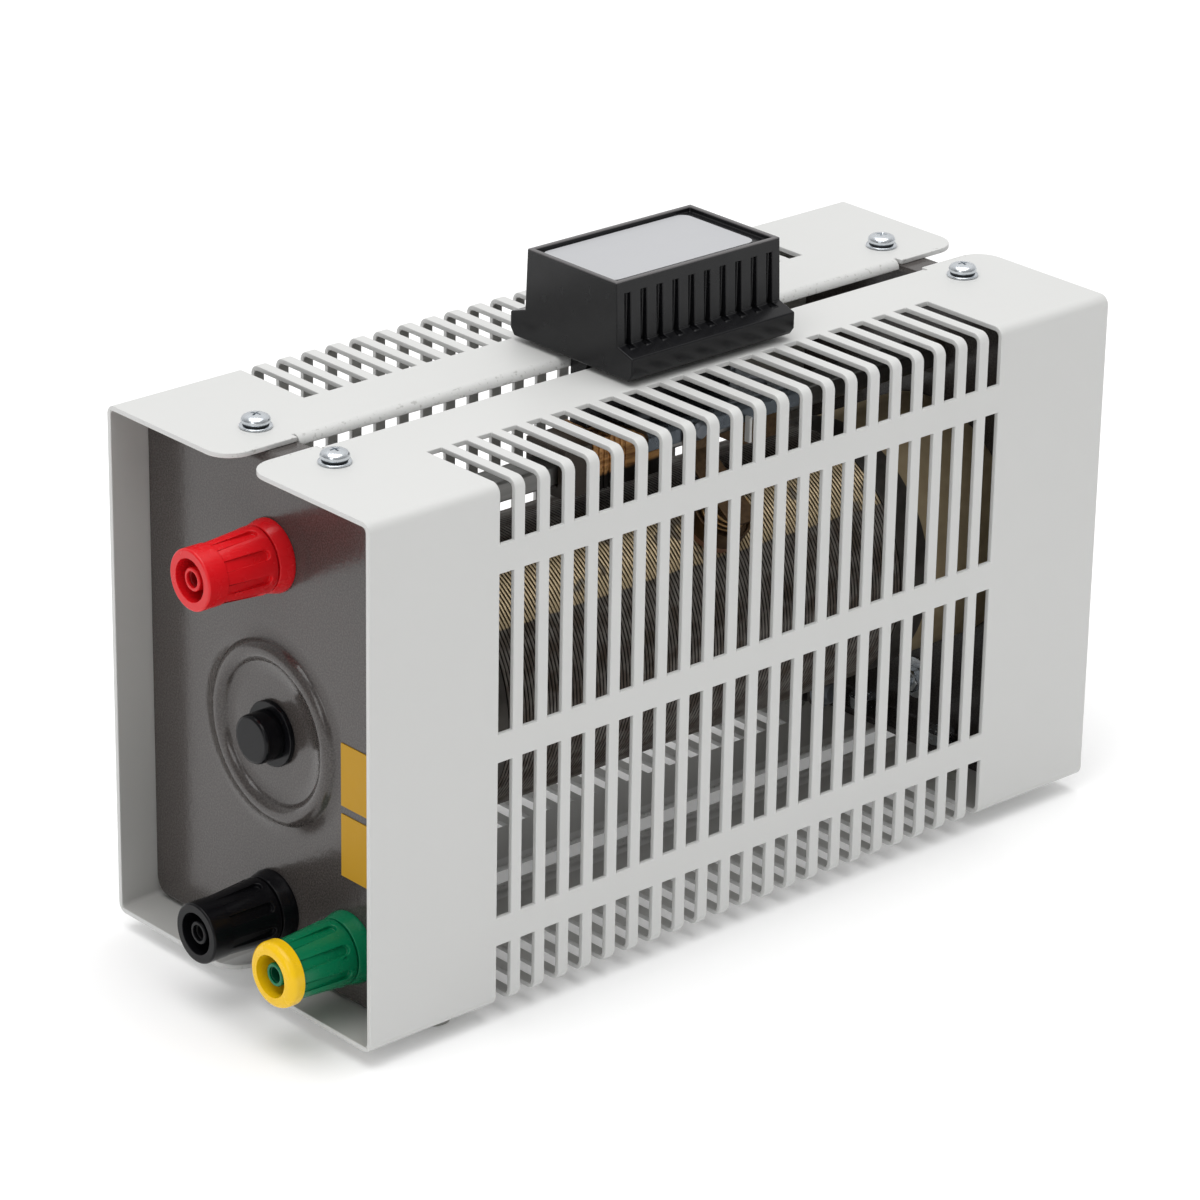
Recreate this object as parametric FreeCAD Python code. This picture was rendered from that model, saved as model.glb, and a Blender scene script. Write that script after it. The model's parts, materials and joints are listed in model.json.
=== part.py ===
import FreeCAD, Part
import math
import os

from FreeCAD import Vector

# Case, in millimetres
# Distances called stations run back from the front edge of the covers
case_length = 270.0
case_width = 110.0
case_height = 150.0
foot_height = 5.0
cover_sheet = 1.5
cover_bend_radius = 3.0
slit_width = 8.0
lip_depth = 2.8
lip_bend_radius = 2.5
lip_relief = 0.8
tab_length = 24.0
tab_corner_radius = 8.0

# Ventilation slots in the covers
slot_count = 22
slot_pitch = 8.5
slot_width = 5.0
slot_height = 45.4
slot_bridge = 8.2
slot_top_edge = 16.8
slot_reach = 29.5

# End plates
plate_sheet = 2.0
plate_recess = 12.0
plate_flange = 12.5
plate_side_gap = 0.3
plate_corner_radius = 7.0
plate_bend_radius = 3.0
bead_outer_radius = 26.0
bead_crest_radius = 23.4
bead_inner_radius = 20.0
bead_height = 2.0

# Cover screws with their washers and press nuts
screw_radius = 2.0
screw_hole_radius = 2.25
screw_head_radius = 4.0
screw_head_height = 2.6
screw_station = 20.0
screw_side = 16.5
flat_washer_radius = 4.5
flat_washer_thickness = 0.8
spring_washer_radius = 3.6
spring_washer_thickness = 1.0
press_nut_radius = 4.2
press_nut_height = 3.5
thread_gap = 0.1

# Rubber feet
foot_radius = 5.5
foot_tread_radius = 4.9
foot_stem_radius = 2.2
foot_station = 31.5
front_foot_side = 42.5
rear_foot_side = 34.0

# Wound tube and the rod that holds it between the end plates
axis_height = 70.0
tube_radius = 37.0
tube_bore_radius = 30.0
wire_diameter = 1.15
fit_gap = 0.05
winding_start = 61.5
winding_end = 208.5
clamp_width = 11.0
clamp_sheet = 1.0
clamp_gap = 3.0
clamp_ear_length = 12.0
clamp_bolt_drop = 44.0
clamp_washer_radius = 5.5
clamp_washer_thickness = 1.0
rod_radius = 3.0
rod_hole_radius = 3.3
rod_washer_radius = 9.2
rod_washer_thickness = 1.6
rod_nut_width = 10.0
rod_nut_height = 5.0
rod_cap_radius = 7.0
rod_cap_wall = 0.9
rod_cap_end = 7.8
disc_rim = 7.0
disc_sheet = 1.5
disc_gap = 0.3

# Guide bar over the tube
bar_width = 10.0
bar_height = 6.0
bar_edge_radius = 0.8
bar_screw_depth = 9.0
bush_flange = 2.5
bush_flange_radius = 6.0
bush_body_radius = 3.8
bush_washer_thickness = 2.0

# Terminals
terminal_offset = 51.0
earth_inset = 23.0
patch_size = 18.0
patch_thickness = 0.3
patch_inset = 17.3
patch_upper_level = 68.3
patch_lower_level = 47.9
terminal_length = 27.0
terminal_hole_radius = 6.2
base_radius = 10.2
base_thickness = 4.4
base_edge = 1.0
base_spigot_radius = 6.0
cap_rear_radius = 9.3
cap_front_radius = 8.5
cap_seam = 0.3
cap_ring_length = 6.5
cap_ring_step = 0.25
cap_shoulder = 1.6
cap_recess_radius = 5.9
cap_recess_floor = 12.5
flute_count = 8
flute_width = 2.8
flute_depth = 0.9
flute_phase = 14.0
flute_start = 0.5
stem_radius = 3.5
stem_gap = 0.1
socket_radius = 2.0
socket_wall_radius = 2.9
socket_floor = 9.0
socket_length = 16.0
sleeve_radius = 3.3
sleeve_tip_radius = 2.25
sleeve_tip = 1.2
earth_sleeve_tip = 0.6
sleeve_start = 13.0
clamp_ring_radius = 7.0
clamp_ring_thickness = 1.2
clamp_ring_gap = 0.3
stud_radius = 2.0
stud_length = 7.6
bar_stud_length = 13.0
rear_bush_radius = 8.0
rear_bush_thickness = 3.0
nut_width = 7.0
nut_height = 3.2
earth_ring_length = 4.6
earth_ring_radius = 9.2
earth_ring_round = 2.2
earth_liner_wall = 0.7
lug_radius = 4.2
lug_sheet = 0.8
lug_tongue = 6.0
lug_barrel_radius = 2.4
lug_barrel_length = 6.0
lead_radius = 1.6
earth_screw_drop = 53.0
earth_washer_radius = 6.5
earth_washer_thickness = 1.2

# Slider
knob_station = 145.2
knob_length = 60.2
knob_width = 36.4
knob_foot_width = 38.0
knob_height = 28.2
knob_rim = 1.6
knob_recess = 1.5
label_thickness = 0.3
label_gap = 0.15
skirt_width = 50.0
skirt_gap = 1.5
skirt_under_width = 47.0
skirt_under = 3.6
skirt_over = 8.3
skirt_top = 10.2
knob_wall = 2.5
groove_count = 10
groove_pitch = 5.8
groove_width = 2.0
groove_depth = 1.2
groove_top = 24.4
groove_foot = 9.3
neck_width = 7.0
neck_length = 54.0
bracket_station = 130.0
bracket_length = 57.0
bracket_width = 32.0
bracket_rise = 7.3
bracket_sheet = 1.5
bracket_depth = 6.0
bracket_bend_radius = 2.5
block_width = 17.0
block_drop = 3.5
block_gap = 0.2
front_block_station = 116.5
front_block_length = 25.5
rear_block_length = 15.0
shoe_length = 10.0
shoe_width = 16.0
leaf_count = 6
leaf_groove = 0.8
neck_screw_front_inset = 18.0
neck_screw_rear_inset = 21.0
neck_screw_grip = 8.0
screw_end_gap = 1.0
block_screw_radius = 1.5
block_screw_clear = 0.1
block_screw_inset = 6.0
block_screw_grip = 4.8
block_screw_head_radius = 2.8
block_screw_head_height = 1.9
contact_station = 147.5
contact_angle = 53.0
contact_gap = 0.3
brush_radius = 8.0
brush_length = 5.0
cup_wall = 0.8
cup_skirt = 2.5
cup_floor = 0.8
cup_rim = 2.2
spring_radius = 6.0
spring_wire_radius = 0.5
spring_length = 6.6
spring_turns = 3
arm_width = 10.0
arm_sheet = 0.8
arm_overhang = 7.5
arm_screw_radius = 1.5
tie_width = 1.0
tie_thickness = 2.2
tie_length = 7.4
tie_drop = 1.6
tie_station = 166.5

# Places worked out from the sizes
front_edge = (terminal_length - plate_recess - case_length) / 2
case_bottom = foot_height
case_top = case_bottom + case_height
case_middle = (case_bottom + case_top) / 2
inner_bottom = case_bottom + cover_sheet
inner_top = case_top - cover_sheet
half_width = case_width / 2
half_slit = slit_width / 2
earth_side = earth_inset - half_width
patch_side = patch_inset - half_width
tube_height = case_bottom + axis_height
bar_level = tube_height + terminal_offset
lower_level = tube_height - terminal_offset
front_face = plate_recess
front_inside = plate_recess + plate_sheet
rear_face = case_length - plate_recess
rear_inside = rear_face - plate_sheet
winding_radius = tube_radius + fit_gap + wire_diameter
bracket_top = bar_level + bar_height / 2 + bracket_rise
bracket_under = bracket_top - bracket_sheet
front_clamp_station = winding_start - clamp_width / 2
rear_clamp_station = winding_end + clamp_width / 2
bar_start = front_inside + rear_bush_thickness + nut_height
block_screw_side = neck_width / 2 + block_screw_head_radius + block_screw_clear
bar_end = rear_inside - bush_flange


def station(distance):
    return front_edge + distance


def box(x0, x1, y0, y1, z0, z1):
    return Part.makeBox(x1 - x0, y1 - y0, z1 - z0, Vector(x0, y0, z0))


def rod_x(radius, x0, x1, y, z):
    return Part.makeCylinder(radius, x1 - x0, Vector(x0, y, z), Vector(1, 0, 0))


def rod_y(radius, y0, y1, x, z):
    return Part.makeCylinder(radius, y1 - y0, Vector(x, y0, z), Vector(0, 1, 0))


def rod_z(radius, z0, z1, x, y):
    return Part.makeCylinder(radius, z1 - z0, Vector(x, y, z0), Vector(0, 0, 1))


def ring_x(outer, inner, x0, x1, y, z):
    return rod_x(outer, x0, x1, y, z).cut(rod_x(inner, x0 - 1, x1 + 1, y, z))


def round_bar(x0, x1, y0, y1, z0, z1, radius):
    """A bar along X with its four long edges rounded."""
    block = box(x0, x1, y0, y1, z0, z1)
    edges = [e for e in block.Edges if abs(e.tangentAt(e.FirstParameter).x) > 0.9]
    return block.makeFillet(radius, edges)


def revolved(points, x_base, y, z):
    """A turned piece: points are (distance outward along -X, radius) pairs."""
    vertices = [Vector(x_base - s, y, z + r) for s, r in points]
    face = Part.Face(Part.makePolygon(vertices + [vertices[0]]))
    return face.revolve(Vector(x_base, y, z), Vector(1, 0, 0), 360)


def profile_x(points, x0, x1):
    """A closed outline of (y, z) points, extruded along X."""
    vertices = [Vector(x0, y, z) for y, z in points]
    face = Part.Face(Part.makePolygon(vertices + [vertices[0]]))
    return face.extrude(Vector(x1 - x0, 0, 0))


def hexagon_x(width, x0, x1, y, z):
    reach = width / math.sqrt(3)
    corners = [math.radians(60 * i) for i in range(6)]
    return profile_x([(y + reach * math.cos(a), z + reach * math.sin(a)) for a in corners], x0, x1)


def mirrored_x(shape):
    middle = Vector(station(case_length / 2), 0, 0)
    return shape.mirror(middle, Vector(1, 0, 0))


def mirrored_y(shape):
    return shape.mirror(Vector(0, 0, 0), Vector(0, 1, 0))


def mirrored_z(shape):
    return shape.mirror(Vector(0, 0, case_middle), Vector(0, 0, 1))


def write(name, shapes):
    pieces = shapes if isinstance(shapes, list) else [shapes]
    solids = [s for piece in pieces for s in piece.Solids]
    result = solids[0] if len(solids) == 1 else Part.makeCompound(solids)
    result.exportStep(os.path.join("parts", name + ".step"))


# Covers
def screw_places():
    stations = (screw_station, case_length - screw_station)
    return [(station(d), side) for d in stations for side in (-screw_side, screw_side)]


def foot_places():
    ends = ((foot_station, front_foot_side), (case_length - foot_station, rear_foot_side))
    return [(station(d), sign * side) for d, side in ends for sign in (-1, 1)]


def cover_channel():
    """The bent channel: a side wall and two flanges that end at the slit."""
    x0, x1 = station(0), station(case_length)
    outer = round_bar(x0, x1, -half_width, half_width, case_bottom, case_top, cover_bend_radius)
    inner = round_bar(
        x0 - 1, x1 + 1, cover_sheet - half_width, half_width - cover_sheet,
        inner_bottom, inner_top, cover_bend_radius - cover_sheet)
    near_side = box(x0 - 1, x1 + 1, -half_width - 1, -half_slit, 0, case_top + 1)
    return outer.cut(inner).common(near_side)


def cover_lip():
    """The flange edge turned down along the slit, between the end tabs."""
    x0, x1 = station(tab_length + lip_relief), station(case_length - tab_length - lip_relief)
    far = half_width / 2
    depth = 4 * lip_depth
    outer = round_bar(x0, x1, -far, -half_slit, case_top - depth, case_top, lip_bend_radius)
    inner = round_bar(
        x0 - 1, x1 + 1, -far - 1, -half_slit - cover_sheet,
        case_top - depth - 1, inner_top, lip_bend_radius - cover_sheet)
    bend = box(x0 - 1, x1 + 1, -half_slit - lip_bend_radius, 0, case_top - lip_depth, case_top)
    return outer.cut(inner).common(bend)


def slot_cutters():
    """Four slots in each column; the outer two wrap round the bends."""
    span = (slot_count - 1) * slot_pitch + slot_width
    first = (case_length - span) / 2
    outside = -half_width - 1
    inside = -half_width + cover_sheet + 1
    wrap_top = case_top - slot_top_edge
    upper = wrap_top - slot_bridge - slot_height
    lower = upper - slot_bridge - slot_height
    cutters = []
    for i in range(slot_count):
        x0 = station(first + i * slot_pitch)
        x1 = x0 + slot_width
        reach = slot_reach - half_width
        cutters.append(box(x0, x1, outside, inside, lower, lower + slot_height))
        cutters.append(box(x0, x1, outside, inside, upper, upper + slot_height))
        cutters.append(box(x0, x1, outside, reach, case_bottom - 1, lower - slot_bridge))
        cutters.append(box(x0, x1, outside, reach, wrap_top, case_top + 1))
    return cutters


def tab_corner_cutters():
    """What rounds the tab corners beside the slit at both ends."""
    r = tab_corner_radius
    centre_y = -half_slit - r
    x = station(0)
    block = box(x - 1, x + r, centre_y, -half_slit + 1, case_bottom - 1, case_top + 1)
    front = block.cut(rod_z(r, case_bottom - 2, case_top + 2, x + r, centre_y))
    return [front, mirrored_x(front)]


def near_cover():
    shell = cover_channel()
    notch = box(
        station(tab_length), station(case_length - tab_length),
        -half_slit - lip_bend_radius, 1, 0, case_top + 1)
    lip = cover_lip()
    shell = shell.cut(notch).fuse([lip, mirrored_z(lip)]).removeSplitter()
    holes = [
        rod_z(screw_hole_radius, case_bottom - 1, case_top + 1, x, y)
        for x, y in screw_places() if y < 0]
    stems = [
        rod_z(foot_stem_radius + fit_gap, case_bottom - 1, inner_bottom + 1, x, y)
        for x, y in foot_places() if y < 0]
    return shell.cut(slot_cutters() + tab_corner_cutters() + holes + stems)


# End plates
def bead(depth):
    """The ring pressed out of an end plate, as a solid of its outer bulge."""
    x = station(front_face + depth)
    inner = Vector(x, 0, tube_height + bead_inner_radius)
    crest = Vector(x - bead_height, 0, tube_height + bead_crest_radius)
    outer = Vector(x, 0, tube_height + bead_outer_radius)
    arc = Part.Arc(inner, crest, outer).toShape()
    face = Part.Face(Part.Wire([arc, Part.LineSegment(outer, inner).toShape()]))
    return face.revolve(Vector(x, 0, tube_height), Vector(1, 0, 0), 360)


def plain_end_plate():
    """A pressed plate with a flange turned in at top and bottom."""
    x0 = station(front_face)
    x1 = x0 + plate_flange
    side = half_width - cover_sheet - plate_side_gap
    outer = box(x0, x1, -side, side, inner_bottom, inner_top)
    inner = box(
        x0 + plate_sheet, x1 + 1, -side - 1, side + 1,
        inner_bottom + plate_sheet, inner_top - plate_sheet)
    bends = [e for e in outer.Edges if is_front_bend(e, x0)]
    hollows = [e for e in inner.Edges if is_front_bend(e, x0 + plate_sheet)]
    outer = outer.makeFillet(plate_bend_radius, bends)
    inner = inner.makeFillet(plate_bend_radius - plate_sheet, hollows)
    outline = round_bar(
        x0 - 1, x1 + 1, -side, side, inner_bottom, inner_top, plate_corner_radius)
    plate = outer.cut(inner).common(outline)
    return plate.fuse(bead(0)).cut(bead(plate_sheet))


def is_front_bend(edge, x):
    middle = edge.CenterOfMass
    return abs(edge.tangentAt(edge.FirstParameter).y) > 0.9 and abs(middle.x - x) < 0.01


def flange_holes():
    return [
        rod_z(screw_hole_radius, case_bottom - 1, case_top + 1, x, y)
        for x, y in screw_places()]


def plate_hole(radius, d, y, z):
    return rod_x(radius, station(d) - 4, station(d) + 4, y, z)


def front_end_plate():
    holes = flange_holes()
    holes.append(plate_hole(rod_hole_radius, front_face, 0, tube_height))
    for y, z in terminal_places().values():
        holes.append(plate_hole(terminal_hole_radius, front_face, y, z))
    return plain_end_plate().cut(holes)


def rear_end_plate():
    holes = flange_holes()
    holes.append(plate_hole(rod_hole_radius, rear_face, 0, tube_height))
    holes.append(plate_hole(bush_body_radius + fit_gap, rear_face, 0, bar_level))
    holes.append(plate_hole(screw_hole_radius, rear_face, 0, earth_screw_level()))
    return mirrored_x(plain_end_plate()).cut(holes)


# Fasteners of the covers, drawn for the top and mirrored for the bottom
def pan_head(radius, height):
    """A pan head standing on the plane z = 0."""
    outline = [(0, 0), (radius, 0), (radius, 0.45 * height), (0.7 * radius, height), (0, height)]
    vertices = [Vector(r, 0, z) for r, z in outline]
    face = Part.Face(Part.makePolygon(vertices + [vertices[0]]))
    return face.revolve(Vector(0, 0, 0), Vector(0, 0, 1), 360)


def top_and_bottom(shape):
    """Copies of a piece drawn at the origin, at all eight screw places."""
    copies = []
    for x, y in screw_places():
        upper = shape.copy()
        upper.translate(Vector(x, y, case_top))
        copies.extend([upper, mirrored_z(upper)])
    return copies


def cover_screws():
    lift = flat_washer_thickness + spring_washer_thickness
    reach = cover_sheet + plate_sheet + press_nut_height
    head = pan_head(screw_head_radius, screw_head_height)
    head.translate(Vector(0, 0, lift))
    return top_and_bottom(head.fuse(rod_z(screw_radius, -reach, lift, 0, 0)))


def washer_z(outer, inner, z0, z1):
    return rod_z(outer, z0, z1, 0, 0).cut(rod_z(inner, z0 - 1, z1 + 1, 0, 0))


def cover_flat_washers():
    return top_and_bottom(washer_z(flat_washer_radius, screw_radius + thread_gap, 0, flat_washer_thickness))


def cover_spring_washers():
    z0, z1 = flat_washer_thickness, flat_washer_thickness + spring_washer_thickness
    ring = washer_z(spring_washer_radius, screw_radius + thread_gap, z0, z1)
    split = box(0, 2 * spring_washer_radius, -0.3, 0.3, z0 - 1, z1 + 1)
    return top_and_bottom(ring.cut(split))


def press_nuts():
    z1 = -cover_sheet - plate_sheet
    return top_and_bottom(washer_z(press_nut_radius, screw_radius + thread_gap, z1 - press_nut_height, z1))


def rubber_feet():
    points = [
        (foot_height, foot_radius), (1.0, foot_tread_radius + 0.3), (0.0, foot_tread_radius - 0.7)]
    feet = []
    for x, y in foot_places():
        outline = [Vector(x, y, 0)] + [Vector(x + r, y, z) for z, r in reversed(points)]
        outline += [Vector(x, y, foot_height), Vector(x, y, 0)]
        pad = Part.Face(Part.makePolygon(outline)).revolve(Vector(x, y, 0), Vector(0, 0, 1), 360)
        stem = rod_z(foot_stem_radius, foot_height - 1, inner_bottom + 2, x, y)
        barb = Part.makeCone(
            foot_stem_radius + 0.8, foot_stem_radius - 0.4, 2, Vector(x, y, inner_bottom + fit_gap))
        feet.append(pad.fuse([stem, barb]))
    return feet


# Wound tube
def ceramic_tube():
    x0, x1 = station(front_inside), station(rear_inside)
    return ring_x(tube_radius, tube_bore_radius, x0, x1, 0, tube_height)


def resistance_winding():
    """A sleeve with a ridge for every turn of the close-wound wire."""
    turns = round((winding_end - winding_start) / wire_diameter)
    pitch = (winding_end - winding_start) / turns
    inner = tube_radius + fit_gap
    valley = winding_radius - wire_diameter / 2
    points = [(-winding_end, inner), (-winding_end, valley)]
    for i in range(turns):
        low = winding_end - i * pitch
        points.append((-low + pitch / 2, winding_radius))
        points.append((-low + pitch, valley))
    points.append((-winding_start, inner))
    return revolved(points, station(0), 0, tube_height)


def winding_clamp(middle):
    """A band round the tube with two ears drawn together by a bolt under it."""
    x0, x1 = station(middle - clamp_width / 2), station(middle + clamp_width / 2)
    inner = tube_radius + fit_gap
    band = ring_x(inner + clamp_sheet, inner, x0, x1, 0, tube_height)
    half = clamp_gap / 2
    top = tube_height - inner - clamp_sheet / 2
    low = tube_height - inner - clamp_ear_length
    ear = box(x0, x1, half, half + clamp_sheet, low, top)
    edges = [e for e in ear.Edges if is_low_side_edge(e, low)]
    ear = ear.makeFillet(clamp_width * 0.35, edges)
    split = box(x0 - 1, x1 + 1, -half, half, low - 1, tube_height)
    reach = half + clamp_sheet + 1
    hole = rod_y(screw_radius + thread_gap, -reach, reach, station(middle), clamp_bolt_level())
    return band.fuse([ear, mirrored_y(ear)]).cut([split, hole])


def is_low_side_edge(edge, low):
    middle = edge.CenterOfMass
    return abs(edge.tangentAt(edge.FirstParameter).y) > 0.9 and abs(middle.z - low) < 0.01


def clamp_bolt_level():
    return tube_height - clamp_bolt_drop


def lying_along_y(shape, x, y, z, flip):
    """Turns a piece drawn along Z so that it points along -Y, or +Y if flipped."""
    piece = shape.copy()
    piece.rotate(Vector(0, 0, 0), Vector(1, 0, 0), -90 if flip else 90)
    piece.translate(Vector(x, y, z))
    return piece


def clamp_stack():
    """How far each layer of the clamp bolt stands out from the middle plane."""
    ear = clamp_gap / 2 + clamp_sheet
    washer = ear + clamp_washer_thickness
    lug = washer + lug_sheet
    return ear, washer, lug


def clamp_screws():
    ear, washer, lug = clamp_stack()
    screws = []
    for d in (front_clamp_station, rear_clamp_station):
        head = pan_head(screw_head_radius, screw_head_height)
        shank = rod_z(screw_radius, -lug - ear - clamp_washer_thickness - nut_height - 1, 0, 0, 0)
        screws.append(lying_along_y(head.fuse(shank), station(d), -lug, clamp_bolt_level(), False))
    return screws


def clamp_washers():
    ear, washer, lug = clamp_stack()
    rings = []
    for d in (front_clamp_station, rear_clamp_station):
        for side in (-1, 1):
            y0, y1 = sorted((side * ear, side * washer))
            disc = rod_y(clamp_washer_radius, y0, y1, station(d), clamp_bolt_level())
            bore = rod_y(screw_radius + thread_gap, y0 - 1, y1 + 1, station(d), clamp_bolt_level())
            rings.append(disc.cut(bore))
    return rings


def clamp_nuts():
    ear, washer, lug = clamp_stack()
    nuts = []
    for d in (front_clamp_station, rear_clamp_station):
        nut = hex_nut(nut_width, nut_height, screw_radius + thread_gap)
        nut.rotate(Vector(0, 0, 0), Vector(0, 0, 1), -90)
        nut.translate(Vector(station(d), washer + nut_height, clamp_bolt_level()))
        nuts.append(nut)
    return nuts


def hex_nut(width, height, bore):
    """A hexagon nut from x = 0 to its height, bored along X."""
    nut = hexagon_x(width, 0, height, 0, 0).cut(rod_x(bore, -1, height + 1, 0, 0))
    corner = width / math.sqrt(3)
    shape = revolved(
        [(-height - 1, 0), (-height - 1, corner - 1), (-height, width / 2 * 0.98),
         (-height + 0.6, corner), (-0.6, corner), (0, width / 2 * 0.98), (1, corner - 1), (1, 0)],
        0, 0, 0)
    return nut.common(shape)


# Rod through the tube
def tie_rod():
    reach = rod_washer_thickness + rod_nut_height + 0.6
    return rod_x(rod_radius, station(front_face) - reach, station(rear_face) + reach, 0, tube_height)


def rod_washers():
    x = station(front_face)
    ring = ring_x(rod_washer_radius, rod_radius + thread_gap, x - rod_washer_thickness, x, 0, tube_height)
    return [ring, mirrored_x(ring)]


def rod_nut_at(d):
    nut = hex_nut(rod_nut_width, rod_nut_height, rod_radius + thread_gap)
    nut.translate(Vector(station(d), 0, tube_height))
    return nut


def rod_nuts():
    outer = rod_nut_at(front_face - rod_washer_thickness - rod_nut_height)
    inner = rod_nut_at(front_inside + disc_sheet)
    return [outer, inner, mirrored_x(outer), mirrored_x(inner)]


def panel_patches():
    """The two plain square patches stuck on the front end plate."""
    x, half = station(front_face), patch_size / 2
    return [
        box(x - patch_thickness, x, patch_side - half, patch_side + half,
            case_bottom + level - half, case_bottom + level + half)
        for level in (patch_upper_level, patch_lower_level)]


def earth_screw_level():
    return tube_height - earth_screw_drop


def earth_screw():
    head = pan_head(screw_head_radius, screw_head_height)
    shank = rod_z(screw_radius, -plate_sheet - earth_washer_thickness - nut_height - 1, 0, 0, 0)
    screw = head.fuse(shank)
    screw.rotate(Vector(0, 0, 0), Vector(0, 1, 0), 90)
    screw.translate(Vector(station(rear_face), 0, earth_screw_level()))
    return screw


def earth_washer():
    x1 = station(rear_inside)
    return ring_x(
        earth_washer_radius, screw_radius + thread_gap, x1 - earth_washer_thickness, x1,
        0, earth_screw_level())


def earth_nut():
    nut = hex_nut(nut_width, nut_height, screw_radius + thread_gap)
    nut.translate(Vector(
        station(rear_inside) - earth_washer_thickness - nut_height, 0, earth_screw_level()))
    return nut


def rod_cap():
    """A moulded cap pushed over the nut and the end of the rod."""
    s0 = rod_washer_thickness + fit_gap
    s1 = rod_cap_end
    inner = rod_nut_width / math.sqrt(3) + fit_gap
    floor = s1 - rod_cap_wall + 0.3
    points = [
        (s0, inner), (s0, rod_cap_radius), (s1 - 0.6, rod_cap_radius - 0.1),
        (s1, rod_cap_radius - 0.7), (s1, 0), (floor, 0), (floor, inner)]
    return revolved(points, station(front_face), 0, tube_height)


def centring_disc():
    """A dished disc that centres the end of the tube on the rod."""
    outer = tube_bore_radius - disc_gap
    x0 = station(front_inside)
    cup = rod_x(outer, x0, x0 + disc_rim, 0, tube_height)
    hollow = rod_x(outer - disc_sheet, x0 + disc_sheet, x0 + disc_rim + 1, 0, tube_height)
    return cup.cut([hollow, rod_x(rod_hole_radius, x0 - 1, x0 + disc_rim, 0, tube_height)])


# Guide bar
def guide_bar():
    x0, x1 = station(bar_start), station(bar_end)
    half = bar_height / 2
    bar = round_bar(
        x0, x1, -bar_width / 2, bar_width / 2, bar_level - half, bar_level + half, bar_edge_radius)
    bore = screw_radius + fit_gap
    return bar.cut([
        rod_x(bore, x0 - 1, x0 + bar_screw_depth, 0, bar_level),
        rod_x(bore, x1 - bar_screw_depth, x1 + 1, 0, bar_level)])


def bar_bush():
    """The shouldered bush that carries the rear end of the bar in its plate."""
    x0 = station(bar_end)
    x1 = station(rear_inside)
    flange = ring_x(bush_flange_radius, screw_radius + fit_gap, x0, x1, 0, bar_level)
    body = ring_x(
        bush_body_radius, screw_radius + fit_gap, x1 - 0.5, station(rear_face), 0, bar_level)
    return flange.fuse(body)


def bar_washer():
    x0 = station(rear_face)
    x1 = x0 + bush_washer_thickness
    return ring_x(bush_flange_radius, screw_radius + fit_gap, x0, x1, 0, bar_level)


def bar_screw():
    x0 = station(rear_face) + bush_washer_thickness
    head = pan_head(screw_head_radius, screw_head_height)
    head.rotate(Vector(0, 0, 0), Vector(0, 1, 0), 90)
    head.translate(Vector(x0, 0, bar_level))
    tip = station(bar_end) - bar_screw_depth + 1
    return head.fuse(rod_x(screw_radius, tip, x0, 0, bar_level))


# Terminals: lengths run outward from the face of the front end plate
def terminal_places():
    return {
        "red": (0.0, bar_level),
        "black": (0.0, lower_level),
        "earth": (earth_side, lower_level)}


def cap_back():
    return base_thickness + cap_seam


def terminal_base(y, z):
    """The fixed collar on the plate, with a spigot through the plate's hole."""
    t = base_thickness
    bore = stem_radius + fit_gap
    points = [
        (-plate_sheet, bore), (-plate_sheet, base_spigot_radius), (0, base_spigot_radius),
        (0, base_radius), (base_edge, base_radius), (t, cap_rear_radius), (t, bore)]
    return revolved(points, station(front_face), y, z)


def terminal_stem(y, z, stud):
    """The plated stem: stud behind the plate, thread and 4 mm socket in front."""
    inside = -plate_sheet - stud
    mouth = socket_floor + socket_length
    points = [
        (inside, 0), (inside, stud_radius), (-plate_sheet, stud_radius),
        (-plate_sheet, stem_radius), (sleeve_start, stem_radius),
        (sleeve_start, socket_wall_radius), (mouth - 0.4, socket_wall_radius),
        (mouth, socket_wall_radius - 0.3), (mouth, socket_radius),
        (socket_floor, socket_radius), (socket_floor, 0)]
    return revolved(points, station(front_face), y, z)


def terminal_sleeve(y, z, tip):
    """The touch-safe sleeve over the socket, with its inturned tip."""
    s0 = sleeve_start + fit_gap
    bore = socket_wall_radius + fit_gap
    mouth = socket_floor + socket_length
    s1 = mouth + tip
    points = [
        (s0, bore), (s0, sleeve_radius), (s1 - 0.3, sleeve_radius),
        (s1, sleeve_radius - 0.3), (s1, sleeve_tip_radius),
        (mouth + fit_gap, sleeve_tip_radius), (mouth + fit_gap, bore)]
    return revolved(points, station(front_face), y, z)


def cap_grip(y, z, front, recess_radius):
    """The turned form of a cap: front lists its outline past the grip."""
    s0 = cap_back()
    pocket = s0 + clamp_ring_thickness + 2 * clamp_ring_gap
    bore = stem_radius + stem_gap
    points = [
        (s0, clamp_ring_radius + clamp_ring_gap), (s0, cap_rear_radius - 0.4),
        (s0 + 0.4, cap_rear_radius), (s0 + cap_shoulder, cap_rear_radius)]
    points += front
    points += [
        (front[-1][0], recess_radius), (cap_recess_floor, recess_radius),
        (cap_recess_floor, bore), (pocket, bore), (pocket, clamp_ring_radius + clamp_ring_gap)]
    return revolved(points, station(front_face), y, z)


def grip_front_radius():
    return cap_front_radius - cap_ring_step


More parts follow.
